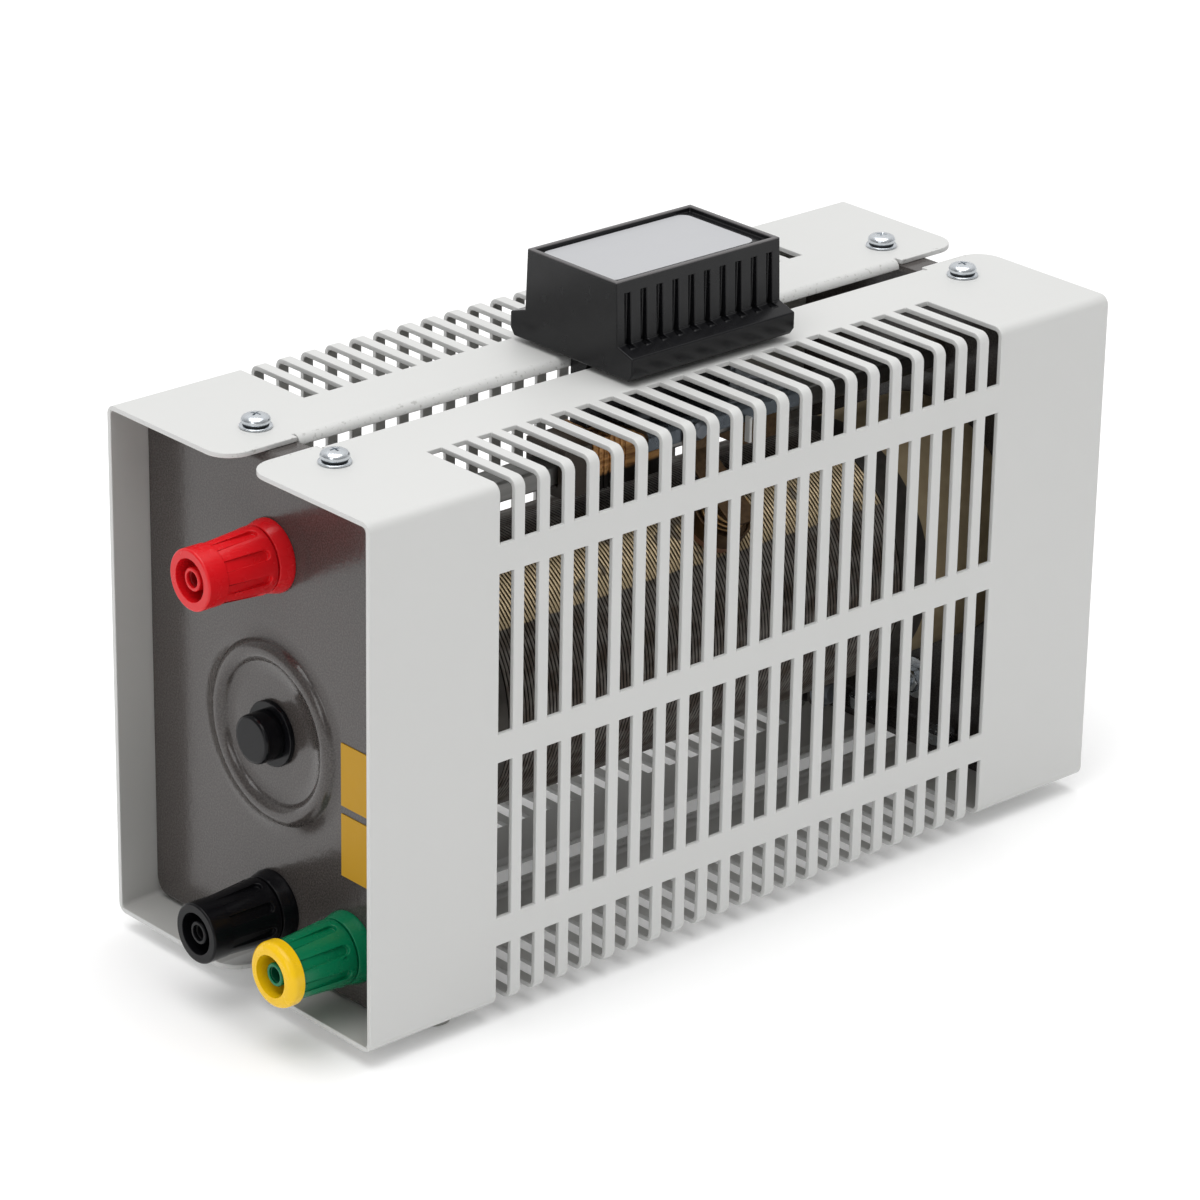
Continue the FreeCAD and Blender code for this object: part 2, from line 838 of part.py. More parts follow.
def flute_cutters(y, z, s1):
    """Grooves round the grip, rounded at the rear and open to its front end at s1."""
    half = flute_width / 2
    s0 = cap_back() + cap_shoulder + flute_start
    x0, x1 = station(front_face) - s1, station(front_face) - s0 - half
    level = (cap_rear_radius + cap_front_radius) / 2 - flute_depth
    corners = [
        Vector(x0, -half, level), Vector(x1, -half, level),
        Vector(x1, half, level), Vector(x0, half, level)]
    outline = [
        Part.LineSegment(corners[0], corners[1]),
        Part.Arc(corners[1], Vector(x1 + half, 0, level), corners[2]),
        Part.LineSegment(corners[2], corners[3]),
        Part.LineSegment(corners[3], corners[0])]
    face = Part.Face(Part.Wire([piece.toShape() for piece in outline]))
    groove = face.extrude(Vector(0, 0, flute_depth + 3))
    cutters = []
    for i in range(flute_count):
        cutter = groove.copy()
        cutter.rotate(Vector(0, 0, 0), Vector(1, 0, 0), flute_phase + i * 360.0 / flute_count)
        cutter.translate(Vector(0, y, z))
        cutters.append(cutter)
    return cutters


def terminal_cap(y, z):
    """A fluted grip with a plain ring proud of it at the front."""
    end = terminal_length
    step = end - cap_ring_length
    front = [
        (step, grip_front_radius()), (step, cap_front_radius),
        (end - 0.4, cap_front_radius), (end, cap_front_radius - 0.4)]
    return cap_grip(y, z, front, cap_recess_radius).cut(flute_cutters(y, z, step))


def earth_liner_radius():
    return cap_recess_radius + earth_liner_wall


def earth_cap(y, z):
    """The green cap, which ends where its yellow ring begins."""
    end = terminal_length - earth_ring_length
    grip = cap_grip(y, z, [(end, grip_front_radius())], earth_liner_radius() + fit_gap)
    return grip.cut(flute_cutters(y, z, end))


def earth_ring(y, z):
    """The broad yellow ring, with a liner that runs down the recess of the cap."""
    s0 = terminal_length - earth_ring_length + fit_gap
    s1 = terminal_length
    x = station(front_face)
    crest = earth_ring_radius
    flat = crest - earth_ring_round
    points = [
        (s1, flat), (s1, cap_recess_radius), (cap_recess_floor + fit_gap, cap_recess_radius),
        (cap_recess_floor + fit_gap, earth_liner_radius()), (s0, earth_liner_radius()),
        (s0, crest), (s1 - earth_ring_round, crest)]
    corners = [Vector(x - s, y, z + r) for s, r in points]
    outline = [Part.LineSegment(a, b) for a, b in zip(corners, corners[1:])]
    shoulder = earth_ring_round * (1 - math.sqrt(0.5))
    bulge = Vector(x - s1 + shoulder, y, z + crest - shoulder)
    outline.append(Part.Arc(corners[-1], bulge, corners[0]))
    face = Part.Face(Part.Wire([piece.toShape() for piece in outline]))
    return face.revolve(Vector(x, y, z), Vector(1, 0, 0), 360)


def clamp_ring(y, z):
    s0 = cap_back() + clamp_ring_gap
    x1 = station(front_face) - s0
    return ring_x(
        clamp_ring_radius, stem_radius + stem_gap, x1 - clamp_ring_thickness, x1, y, z)


def rear_bush(y, z):
    x0 = station(front_inside)
    return ring_x(
        rear_bush_radius, stud_radius + fit_gap, x0, x0 + rear_bush_thickness, y, z)


def terminal_nut(y, z, d):
    nut = hex_nut(nut_width, nut_height, stud_radius + thread_gap)
    nut.translate(Vector(station(d), y, z))
    return nut


def terminal_nuts():
    first = front_inside + rear_bush_thickness
    second = first + lug_sheet
    places = terminal_places()
    return [
        terminal_nut(*places["red"], first),
        terminal_nut(*places["black"], second),
        terminal_nut(*places["earth"], first)]


# The lead from the black terminal to the front winding clamp
def terminal_lug():
    """A ring on the stud with a tongue bent back along X and a barrel."""
    y, z = terminal_places()["black"]
    x0 = station(front_inside + rear_bush_thickness)
    x1 = x0 + lug_sheet
    ring = rod_x(lug_radius, x0, x1, y, z)
    side = y - lug_radius - lug_barrel_radius
    foot = box(x0, x1, side, y, z - lug_barrel_radius, z + lug_barrel_radius)
    tongue = box(
        x0, x0 + lug_tongue, side, side + lug_sheet, z - lug_barrel_radius, z + lug_barrel_radius)
    barrel = rod_x(
        lug_barrel_radius, x0 + lug_tongue - 1, x0 + lug_tongue + lug_barrel_length,
        side + lug_barrel_radius, z)
    hole = rod_x(stud_radius + thread_gap, x0 - 1, x1 + 1, y, z)
    return ring.fuse([foot, tongue, barrel]).cut(hole).removeSplitter()


def clamp_lug():
    """A ring under the head of the front clamp bolt, its barrel pointing forward."""
    ear, washer, lug = clamp_stack()
    x, z = station(front_clamp_station), clamp_bolt_level()
    ring = rod_y(lug_radius, -lug, -washer, x, z)
    tongue = box(
        x - lug_radius - 2, x, -lug, -washer, z - lug_barrel_radius, z + lug_barrel_radius)
    barrel = rod_x(
        lug_barrel_radius, x - lug_radius - lug_barrel_length - 1, x - lug_radius - 1,
        lead_clamp_side(), z)
    hole = rod_y(screw_radius + thread_gap, -lug - 1, -washer + 1, x, z)
    return ring.fuse([tongue, barrel]).cut(hole).removeSplitter()


def lead_clamp_side():
    ear, washer, lug = clamp_stack()
    return -lug - lug_barrel_radius + lug_sheet


def lead_path():
    """The centre line of the lead: straight runs joined by tangent arcs."""
    y, z = terminal_places()["black"]
    x_lug = station(front_inside + rear_bush_thickness) + lug_tongue + lug_barrel_length
    x_clamp = station(front_clamp_station) - lug_radius - lug_barrel_length - 1
    start = Vector(x_lug, y - lug_radius, z)
    end = Vector(x_clamp, lead_clamp_side(), clamp_bolt_level())
    run = (end.x - start.x) / 3
    return [start, start + Vector(run, 0, 0), end - Vector(run, 0, 0), end]


def rounded_wire(points):
    """Runs between the points, with an arc at each inner point."""
    edges = []
    here = points[0]
    for before, corner, after in zip(points, points[1:], points[2:]):
        into = (corner - before).normalize()
        out = (after - corner).normalize()
        turn = into.getAngle(out)
        cut = 0.45 * min((corner - before).Length, (after - corner).Length)
        radius = cut / math.tan(turn / 2)
        arc_start = corner - into * cut
        arc_end = corner + out * cut
        bulge = radius / math.cos(turn / 2) - radius
        inward = (out - into).normalize()
        edges.append(Part.LineSegment(here, arc_start).toShape())
        edges.append(Part.Arc(arc_start, corner + inward * bulge, arc_end).toShape())
        print("lead arc radius %.1f" % radius)
        here = arc_end
    edges.append(Part.LineSegment(here, points[-1]).toShape())
    return Part.Wire(edges)


def black_lead():
    points = lead_path()
    path = rounded_wire(points)
    circle = Part.Circle(points[0], Vector(1, 0, 0), lead_radius).toShape()
    lead = path.makePipeShell([Part.Wire([circle])], True, True)
    section = math.pi * lead_radius ** 2
    print("lead volume over section times length %.4f" % (lead.Volume / (section * path.Length)))
    return lead


# Slider
def knob_level(rise):
    return case_top + rise


def knob_outline():
    """The cross section of the knob: tapered grip over a bevelled skirt."""
    half = [
        (skirt_under_width / 2, skirt_gap), (skirt_width / 2, skirt_under),
        (skirt_width / 2, skirt_over), (knob_foot_width / 2, skirt_top),
        (knob_width / 2, knob_height)]
    right = [(y, knob_level(z)) for y, z in half]
    left = [(-y, z) for y, z in reversed(right)]
    return right + left


def knob_housing():
    x = station(knob_station)
    half_grip = knob_length / 2
    body = profile_x(knob_outline(), x - half_grip, x + half_grip)
    top = knob_level(knob_height)
    recess = box(
        x - half_grip + knob_rim, x + half_grip - knob_rim,
        -knob_width / 2 + knob_rim, knob_width / 2 - knob_rim, top - knob_recess, top + 1)
    cavity = box(
        x - half_grip + knob_wall, x + half_grip - knob_wall,
        -knob_width / 2 + knob_wall + groove_depth, knob_width / 2 - knob_wall - groove_depth,
        knob_level(skirt_gap) - 1, top - knob_recess - knob_wall)
    neck = box(
        x - neck_length / 2, x + neck_length / 2, -neck_width / 2, neck_width / 2,
        bracket_top, top - knob_recess - knob_wall / 2)
    body = body.cut([recess, cavity] + knob_grooves()).fuse(neck)
    top = bracket_top + neck_screw_grip + screw_end_gap
    holes = [
        rod_z(screw_radius + fit_gap, bracket_top - 1, top, station(d), 0)
        for d in neck_screw_stations()]
    return body.cut(holes).removeSplitter()


def knob_grooves():
    """The finger grooves down both long faces of the grip."""
    cutters = []
    first = knob_station - (groove_count - 1) * groove_pitch / 2
    face = knob_width / 2
    for i in range(groove_count):
        x = station(first + i * groove_pitch)
        groove = box(
            x - groove_width / 2, x + groove_width / 2, face - groove_depth, face + 3,
            knob_level(groove_foot), knob_level(groove_top))
        cutters.extend([groove, mirrored_y(groove)])
    return cutters


def knob_label_plate():
    x = station(knob_station)
    half_x = knob_length / 2 - knob_rim - label_gap
    half_y = knob_width / 2 - knob_rim - label_gap
    floor = knob_level(knob_height) - knob_recess
    return box(x - half_x, x + half_x, -half_y, half_y, floor, floor + label_thickness)


def neck_screw_stations():
    rear = bracket_station + bracket_length
    return (bracket_station + neck_screw_front_inset, rear - neck_screw_rear_inset)


def carriage_bracket():
    """The bent channel that joins the knob's neck to the guide blocks."""
    x0, x1 = station(bracket_station), station(bracket_station + bracket_length)
    half = bracket_width / 2
    deep = bracket_top - 4 * bracket_depth
    outer = round_bar(x0, x1, -half, half, deep, bracket_top, bracket_bend_radius)
    inner = round_bar(
        x0 - 1, x1 + 1, bracket_sheet - half, half - bracket_sheet, deep - 1, bracket_under,
        bracket_bend_radius - bracket_sheet)
    keep = box(x0 - 1, x1 + 1, -half, half, bracket_top - bracket_depth, bracket_top)
    holes = [
        rod_z(screw_hole_radius, bracket_under - 1, bracket_top + 1, station(d), 0)
        for d in neck_screw_stations()]
    holes += [
        rod_z(block_screw_radius + thread_gap, bracket_under - 1, bracket_top + 1, x, y)
        for x, y in block_screw_places()]
    level = arm_screw_level()
    holes.append(rod_y(
        arm_screw_radius + thread_gap, -half - 1, -half + bracket_sheet + 1,
        station(contact_station), level))
    return outer.cut(inner).common(keep).cut(holes)


def block_screw_places():
    inset = (block_screw_inset, bracket_length - rear_block_length / 2)
    stations = [station(bracket_station + d) for d in inset]
    return [(x, side) for x in stations for side in (-block_screw_side, block_screw_side)]


def guide_block(start, length, width, top):
    """A block round the guide bar with a running gap on every side."""
    low = bar_level - bar_height / 2 - block_drop
    x0, x1 = station(start), station(start + length)
    block = box(x0, x1, -width / 2, width / 2, low, top)
    half_y, half_z = bar_width / 2 + block_gap, bar_height / 2 + block_gap
    return block.cut(box(x0 - 1, x1 + 1, -half_y, half_y, bar_level - half_z, bar_level + half_z))


def block_with_holes(block):
    bottom = bracket_under - block_screw_grip - screw_end_gap / 2
    holes = [
        rod_z(block_screw_radius + fit_gap, bottom, bracket_under + 1, x, y)
        for x, y in block_screw_places()]
    return block.cut(holes)


def front_guide_block():
    """The bronze block, grooved across like a stack of leaves."""
    block = guide_block(front_block_station, front_block_length, block_width, bracket_under)
    free = bracket_station - front_block_station
    pitch = free / (leaf_count + 1)
    grooves = []
    for i in range(leaf_count):
        x = station(front_block_station + (i + 1) * pitch)
        half = leaf_groove / 2
        side = block_width / 2
        low = bar_level - bar_height
        grooves.append(box(x - half, x + half, side - 0.6, side + 1, low - 9, bracket_under + 1))
        grooves.append(box(x - half, x + half, -side - 1, 0.6 - side, low - 9, bracket_under + 1))
        grooves.append(box(x - half, x + half, -side - 1, side + 1, bracket_under - 0.6, bracket_under + 1))
    return block_with_holes(block.cut(grooves))


def rear_guide_block():
    start = bracket_station + bracket_length - rear_block_length
    return block_with_holes(guide_block(start, rear_block_length, block_width, bracket_under))


def front_guide_shoe():
    start = front_block_station - shoe_length
    return guide_block(start, shoe_length, shoe_width, bracket_under - 1)


def carriage_screws():
    screws = []
    for d in neck_screw_stations():
        head = pan_head(screw_head_radius, screw_head_height)
        screw = head.fuse(rod_z(screw_radius, -bracket_sheet - neck_screw_grip, 0, 0, 0))
        screw.rotate(Vector(0, 0, 0), Vector(1, 0, 0), 180)
        screw.translate(Vector(station(d), 0, bracket_under))
        screws.append(screw)
    for x, y in block_screw_places():
        head = pan_head(block_screw_head_radius, block_screw_head_height)
        screw = head.fuse(rod_z(block_screw_radius, -bracket_sheet - block_screw_grip, 0, 0, 0))
        screw.translate(Vector(x, y, bracket_top))
        screws.append(screw)
    return screws


# Contact: drawn along the radius that meets the track, then placed
def arm_screw_level():
    return bracket_top - bracket_depth / 2 - 0.5


def on_contact_radius(shape):
    """Places a piece drawn with Z along the radius and Y along the tangent."""
    piece = shape.copy()
    piece.rotate(Vector(0, 0, 0), Vector(1, 0, 0), 90 - contact_angle)
    piece.translate(Vector(station(contact_station), 0, tube_height))
    return piece


def brush_reach():
    start = winding_radius + contact_gap
    return start, start + brush_length


def contact_brush():
    """The round brush, hollowed to the curve of the winding at its tip."""
    start, end = brush_reach()
    brush = rod_z(brush_radius, start - 2, end, 0, 0)
    return on_contact_radius(brush.cut(rod_x(start, -2 * brush_radius, 2 * brush_radius, 0, 0)))


def contact_cup():
    """The spring seat: a spun cup pressed over the brush, open both ways."""
    start, end = brush_reach()
    outer = brush_radius + fit_gap + cup_wall
    cup = rod_z(outer, start + cup_skirt, end + cup_floor + cup_rim, 0, 0)
    over = rod_z(brush_radius + fit_gap, start, end, 0, 0)
    well = rod_z(outer - cup_wall, end + cup_floor, end + cup_floor + cup_rim + 1, 0, 0)
    return on_contact_radius(cup.cut([over, well]))


def contact_spring():
    """A coil drawn as quarter-turn arcs that climb from the cup to the arm."""
    start, end = brush_reach()
    seat = end + cup_floor + spring_wire_radius
    rise = spring_length - 2 * spring_wire_radius
    quarters = 4 * spring_turns
    bends = [spring_point(i / 2, quarters, seat, rise) for i in range(2 * quarters + 1)]
    arcs = [Part.Arc(*bends[i:i + 3]).toShape() for i in range(0, 2 * quarters, 2)]
    section = Part.Circle(bends[0], Vector(0, 1, 0), spring_wire_radius).toShape()
    return on_contact_radius(Part.Wire(arcs).makePipeShell([Part.Wire([section])], True, True))


def spring_point(quarter, quarters, seat, rise):
    turn = quarter * math.pi / 2
    height = seat + rise * quarter / quarters
    return Vector(spring_radius * math.cos(turn), spring_radius * math.sin(turn), height)


def contact_arm():
    """The bent leaf from the bracket's near flange out over the spring."""
    start, end = brush_reach()
    angle = math.radians(contact_angle)
    side = bracket_width / 2
    radius = end + cup_floor + spring_length
    run = (radius * math.cos(angle) - side - arm_sheet) / math.sin(angle)
    half = arm_width / 2
    leaf = on_contact_radius(
        box(-half, half, -arm_overhang, run + arm_sheet, radius, radius + arm_sheet))
    bend_level = tube_height + radius * math.sin(angle) + run * math.cos(angle)
    x = station(contact_station)
    upright = box(
        x - half, x + half, -side - arm_sheet, -side, bend_level - arm_sheet,
        bracket_top - bracket_bend_radius)
    hole = rod_y(
        arm_screw_radius + thread_gap, -side - arm_sheet - 1, -side + 1, x, arm_screw_level())
    return leaf.fuse(upright).cut(hole).removeSplitter()


def cable_tie():
    """The tail of a plastic tie that hangs from the bracket's near flange."""
    x, side = station(tie_station), bracket_width / 2
    top = bracket_top - bracket_bend_radius - tie_drop
    tail = box(x - tie_width / 2, x + tie_width / 2, -side - tie_thickness, -side, top - tie_length, top)
    edges = [e for e in tail.Edges if abs(e.tangentAt(e.FirstParameter).z) > 0.9]
    return tail.makeFillet(tie_width * 0.3, edges)


def arm_screw():
    side = bracket_width / 2 + arm_sheet
    head = pan_head(block_screw_head_radius, block_screw_head_height)
    screw = head.fuse(rod_z(arm_screw_radius, -arm_sheet - bracket_sheet - 1.5, 0, 0, 0))
    return lying_along_y(screw, station(contact_station), -side, arm_screw_level(), False)


def case_pieces():
    near = near_cover()
    cap = rod_cap()
    disc = centring_disc()
    return {
        "near_cover": near,
        "far_cover": mirrored_y(near),
        "front_end_plate": front_end_plate(),
        "rear_end_plate": rear_end_plate(),
        "cover_screws": cover_screws(),
        "cover_flat_washers": cover_flat_washers(),
        "cover_spring_washers": cover_spring_washers(),
        "press_nuts": press_nuts(),
        "rubber_feet": rubber_feet(),
        "ceramic_tube": ceramic_tube(),
        "resistance_winding": resistance_winding(),
        "winding_clamps": [winding_clamp(d) for d in (front_clamp_station, rear_clamp_station)],
        "clamp_screws": clamp_screws(),
        "clamp_washers": clamp_washers(),
        "clamp_nuts": clamp_nuts(),
        "tie_rod": tie_rod(),
        "tie_rod_washers": rod_washers(),
        "tie_rod_nuts": rod_nuts(),
        "rod_caps": [cap, mirrored_x(cap)],
        "centring_discs": [disc, mirrored_x(disc)],
        "guide_bar": guide_bar(),
        "guide_bar_bush": bar_bush(),
        "guide_bar_washer": bar_washer(),
        "guide_bar_screw": bar_screw(),
        "panel_patches": panel_patches(),
        "earth_screw": earth_screw(),
        "earth_washer": earth_washer(),
        "earth_nut": earth_nut()}


def terminal_pieces():
    places = terminal_places()
    studs = {"red": bar_stud_length, "black": stud_length, "earth": stud_length}
    pieces = {
        "terminal_stems": [terminal_stem(y, z, studs[name]) for name, (y, z) in places.items()],
        "terminal_bushes": [rear_bush(y, z) for y, z in places.values()],
        "terminal_nuts": terminal_nuts(),
        "earth_terminal_ring": earth_ring(*places["earth"]),
        "terminal_lug": terminal_lug(),
        "clamp_lug": clamp_lug(),
        "black_lead": black_lead()}
    for name, (y, z) in places.items():
        earth = name == "earth"
        pieces[name + "_terminal_base"] = terminal_base(y, z)
        tip = earth_sleeve_tip if earth else sleeve_tip
        pieces[name + "_terminal_sleeve"] = terminal_sleeve(y, z, tip)
        pieces[name + "_clamp_ring"] = clamp_ring(y, z)
        pieces[name + "_terminal_cap"] = earth_cap(y, z) if earth else terminal_cap(y, z)
    return pieces


def slider_pieces():
    return {
        "knob_housing": knob_housing(),
        "knob_label_plate": knob_label_plate(),
        "carriage_bracket": carriage_bracket(),
        "front_guide_block": front_guide_block(),
        "rear_guide_block": rear_guide_block(),
        "front_guide_shoe": front_guide_shoe(),
        "carriage_screws": carriage_screws(),
        "contact_brush": contact_brush(),
        "contact_cup": contact_cup(),
        "contact_spring": contact_spring(),
        "contact_arm": contact_arm(),
        "contact_arm_screw": arm_screw(),
        "cable_tie": cable_tie()}


def main():
    os.makedirs("parts", exist_ok=True)
    for group in (case_pieces(), terminal_pieces(), slider_pieces()):
        for name, shapes in group.items():
            write(name, shapes)


main()
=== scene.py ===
import json
import math

import bmesh
import bpy
from mathutils import Matrix, Vector

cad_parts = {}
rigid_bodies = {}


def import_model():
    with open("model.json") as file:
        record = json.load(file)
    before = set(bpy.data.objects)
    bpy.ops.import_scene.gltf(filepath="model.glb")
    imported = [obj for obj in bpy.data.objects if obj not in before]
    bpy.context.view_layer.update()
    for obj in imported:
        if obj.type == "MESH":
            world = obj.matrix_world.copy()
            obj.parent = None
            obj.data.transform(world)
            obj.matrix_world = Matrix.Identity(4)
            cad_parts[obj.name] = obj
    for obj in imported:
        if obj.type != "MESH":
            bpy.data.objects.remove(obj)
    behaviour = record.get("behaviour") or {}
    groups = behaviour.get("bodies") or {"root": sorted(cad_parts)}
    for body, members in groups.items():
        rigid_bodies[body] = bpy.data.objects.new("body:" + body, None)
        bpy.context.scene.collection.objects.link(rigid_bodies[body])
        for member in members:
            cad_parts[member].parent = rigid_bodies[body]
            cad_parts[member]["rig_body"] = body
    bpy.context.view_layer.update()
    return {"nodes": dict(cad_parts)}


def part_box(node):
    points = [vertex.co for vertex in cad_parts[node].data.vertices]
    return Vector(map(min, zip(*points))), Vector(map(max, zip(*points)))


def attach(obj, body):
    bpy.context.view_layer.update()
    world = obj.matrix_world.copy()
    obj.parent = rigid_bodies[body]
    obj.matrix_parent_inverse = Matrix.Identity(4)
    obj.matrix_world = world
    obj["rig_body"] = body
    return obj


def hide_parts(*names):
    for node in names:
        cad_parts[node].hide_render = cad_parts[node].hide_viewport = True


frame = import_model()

nodes = frame["nodes"]
mm = 0.001

# Camera: a long lens in front of the terminal end, a little above the lid.
# It looks at the middle of the covers and leans over by one degree.
cover_low, cover_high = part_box("near_cover")
case_middle = Vector(((cover_low.x + cover_high.x) / 2, 0, (cover_low.z + cover_high.z) / 2))
view_azimuth = math.radians(-42.0)
view_elevation = math.radians(23.12)
view_roll = math.radians(1.0)
view_distance = 1388.3 * mm
view_right_offset = -5.54 * mm
view_up_offset = -0.17 * mm
back = Vector((
    math.sin(view_azimuth) * math.cos(view_elevation),
    -math.cos(view_azimuth) * math.cos(view_elevation),
    math.sin(view_elevation)))
level_right = Vector((0, 0, 1)).cross(back).normalized()
level_up = back.cross(level_right)
right = math.cos(view_roll) * level_right + math.sin(view_roll) * level_up
up = math.cos(view_roll) * level_up - math.sin(view_roll) * level_right
place = case_middle + back * view_distance + right * view_right_offset + up * view_up_offset
lens = bpy.data.cameras.new("camera")
lens.sensor_width = 36.0
lens.lens = 148.74
lens.clip_start = 0.05
camera = bpy.data.objects.new("camera", lens)
camera.matrix_world = Matrix.Translation(place) @ Matrix((right, up, back)).transposed().to_4x4()
bpy.context.scene.collection.objects.link(camera)
bpy.context.scene.camera = camera
bpy.context.scene.view_settings.view_transform = "Standard"


# Studio: a white backdrop behind, a dim room in front, one wide soft box overhead
# and a smaller one before the terminal end, over a pale seamless sheet.
def put(socket, value):
    """Links a shade to a socket, or sets the socket's own value."""
    if isinstance(value, Shade):
        value.tree.links.new(value.socket, socket)
    else:
        socket.default_value = value


class Shade:
    """A socket of a node tree that Python can reckon with."""

    def __init__(self, tree, socket):
        self.tree = tree
        self.socket = socket

    def node(self, kind, settings=None, values=None, output=0):
        """Adds a node to this shade's tree and returns one of its outputs."""
        made = self.tree.nodes.new(kind)
        for name, setting in (settings or {}).items():
            setattr(made, name, setting)
        for name, value in (values or {}).items():
            put(made.inputs[name], value)
        return Shade(self.tree, made.outputs[output])

    def _sum(self, operation, first, second=0.0):
        return self.node("ShaderNodeMath", {"operation": operation}, {0: first, 1: second})

    def __add__(self, other):
        return self._sum("ADD", self, other)

    def __radd__(self, other):
        return self._sum("ADD", other, self)

    def __sub__(self, other):
        return self._sum("SUBTRACT", self, other)

    def __rsub__(self, other):
        return self._sum("SUBTRACT", other, self)

    def __mul__(self, other):
        return self._sum("MULTIPLY", self, other)

    def __rmul__(self, other):
        return self._sum("MULTIPLY", other, self)

    def __abs__(self):
        return self._sum("ABSOLUTE", self)

    def root(self):
        return self._sum("SQRT", self)

    def noise(self, size, detail=2.0):
        """Cloudy noise with lumps of about this size in metres, from 0 to 1."""
        return self.node(
            "ShaderNodeTexNoise", values={"Vector": self, "Scale": 1 / size, "Detail": detail})

    def part(self, axis):
        """The X, Y or Z part of a vector."""
        return self.node(
            "ShaderNodeSeparateXYZ", values={0: self}, output="XYZ".index(axis))

    def step(self, low, high):
        """Eases from 0 to 1 while this shade climbs from low to high."""
        return self.node(
            "ShaderNodeMapRange", {"interpolation_type": "SMOOTHSTEP"}, {0: self, 1: low, 2: high})

    def blend(self, colour, other):
        """One colour where this shade is 0 and the other where it is 1."""
        return self.node(
            "ShaderNodeMix", {"data_type": "RGBA", "clamp_factor": True},
            {0: self, 6: colour, 7: other}, output=2)

    def bump(self, depth):
        """The normal of a surface with this shade as its relief."""
        return self.node(
            "ShaderNodeBump", values={"Strength": 1.0, "Distance": depth, "Height": self})


def rgb(red, green, blue):
    return (red, green, blue, 1.0)


def material(name, colour, roughness, metallic=0.0, gloss=0.5):
    """A plain surface; returns it, its shader's sockets and its Object coordinates."""
    made = bpy.data.materials.new(name)
    made.use_nodes = True
    shader = made.node_tree.nodes["Principled BSDF"]
    shader.inputs["Base Color"].default_value = colour
    shader.inputs["Roughness"].default_value = roughness
    shader.inputs["Metallic"].default_value = metallic
    shader.inputs["Specular IOR Level"].default_value = gloss
    coordinates = made.node_tree.nodes.new("ShaderNodeTexCoord")
    return made, shader.inputs, Shade(made.node_tree, coordinates.outputs["Object"])


def mesh_object(name, mesh):
    made = bpy.data.objects.new(name, mesh)
    bpy.context.scene.collection.objects.link(made)
    return made


sheet_paper, sheet_inputs, _ = material("seamless_sheet", rgb(0.88, 0.88, 0.88), 0.9)
sheet_inputs["Emission Color"].default_value = rgb(1, 1, 1)
sheet_inputs["Emission Strength"].default_value = 0.13
sheet_size = 6.0
sheet_mesh = bpy.data.meshes.new("floor_sheet")
sheet_mesh.from_pydata(
    [(x, y, 0) for x, y in ((-sheet_size, -sheet_size), (sheet_size, -sheet_size),
                            (sheet_size, sheet_size), (-sheet_size, sheet_size))],
    [], [(0, 1, 2, 3)])
sheet_mesh.materials.append(sheet_paper)
mesh_object("floor_sheet", sheet_mesh)

room = bpy.data.worlds.new("studio_room")
room.use_nodes = True
room_coordinates = room.node_tree.nodes.new("ShaderNodeTexCoord")
room_way = Shade(room.node_tree, room_coordinates.outputs["Generated"])
room_glow = room.node_tree.nodes["Background"].inputs
room_glow["Color"].default_value = rgb(1, 1, 1)
towards_backdrop = Vector((-back.x, -back.y)).normalized()
backdrop = (towards_backdrop.x * room_way.part("X")
            + towards_backdrop.y * room_way.part("Y")).step(-0.2, 0.9)
room_fill = 0.28
ceiling_gain = 0.24
backdrop_gain = 0.42
put(room_glow["Strength"],
    room_fill + ceiling_gain * room_way.part("Z").step(0.0, 1.0) + backdrop_gain * backdrop)
bpy.context.scene.world = room


def soft_box(name, width, depth, power, position, aim):
    """A rectangular light that faces the point it aims at."""
    light = bpy.data.lights.new(name, "AREA")
    light.shape = "RECTANGLE"
    light.size = width
    light.size_y = depth
    light.energy = power
    made = bpy.data.objects.new(name, light)
    made.location = position
    made.rotation_euler = (aim - Vector(position)).to_track_quat("-Z", "Y").to_euler()
    bpy.context.scene.collection.objects.link(made)


soft_box("overhead_box", width=3.0, depth=3.0, power=80.0, position=(-0.3, -0.2, 3.0),
         aim=case_middle)
soft_box("front_box", width=1.0, depth=1.4, power=10.0, position=(-2.4, -1.1, 1.2),
         aim=case_middle)

# Covers: two channels of 1.5 mm sheet, slotted, bent and powder coated light grey.
# Each is laid over the end plates from its own side and screwed down.
cover_sheet = 1.5 * mm
cover_edge = 0.28 * mm
weld_reach = 0.001 * mm
flat_turn = math.radians(0.4)
bend_turn = math.radians(38)
crease_turn = math.radians(48)
flat_face_weight = 80


def declare(made, node):
    """The frame calls of a piece that takes the place of one CAD node."""
    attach(made, nodes[node]["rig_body"])
    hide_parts(node)
    return made


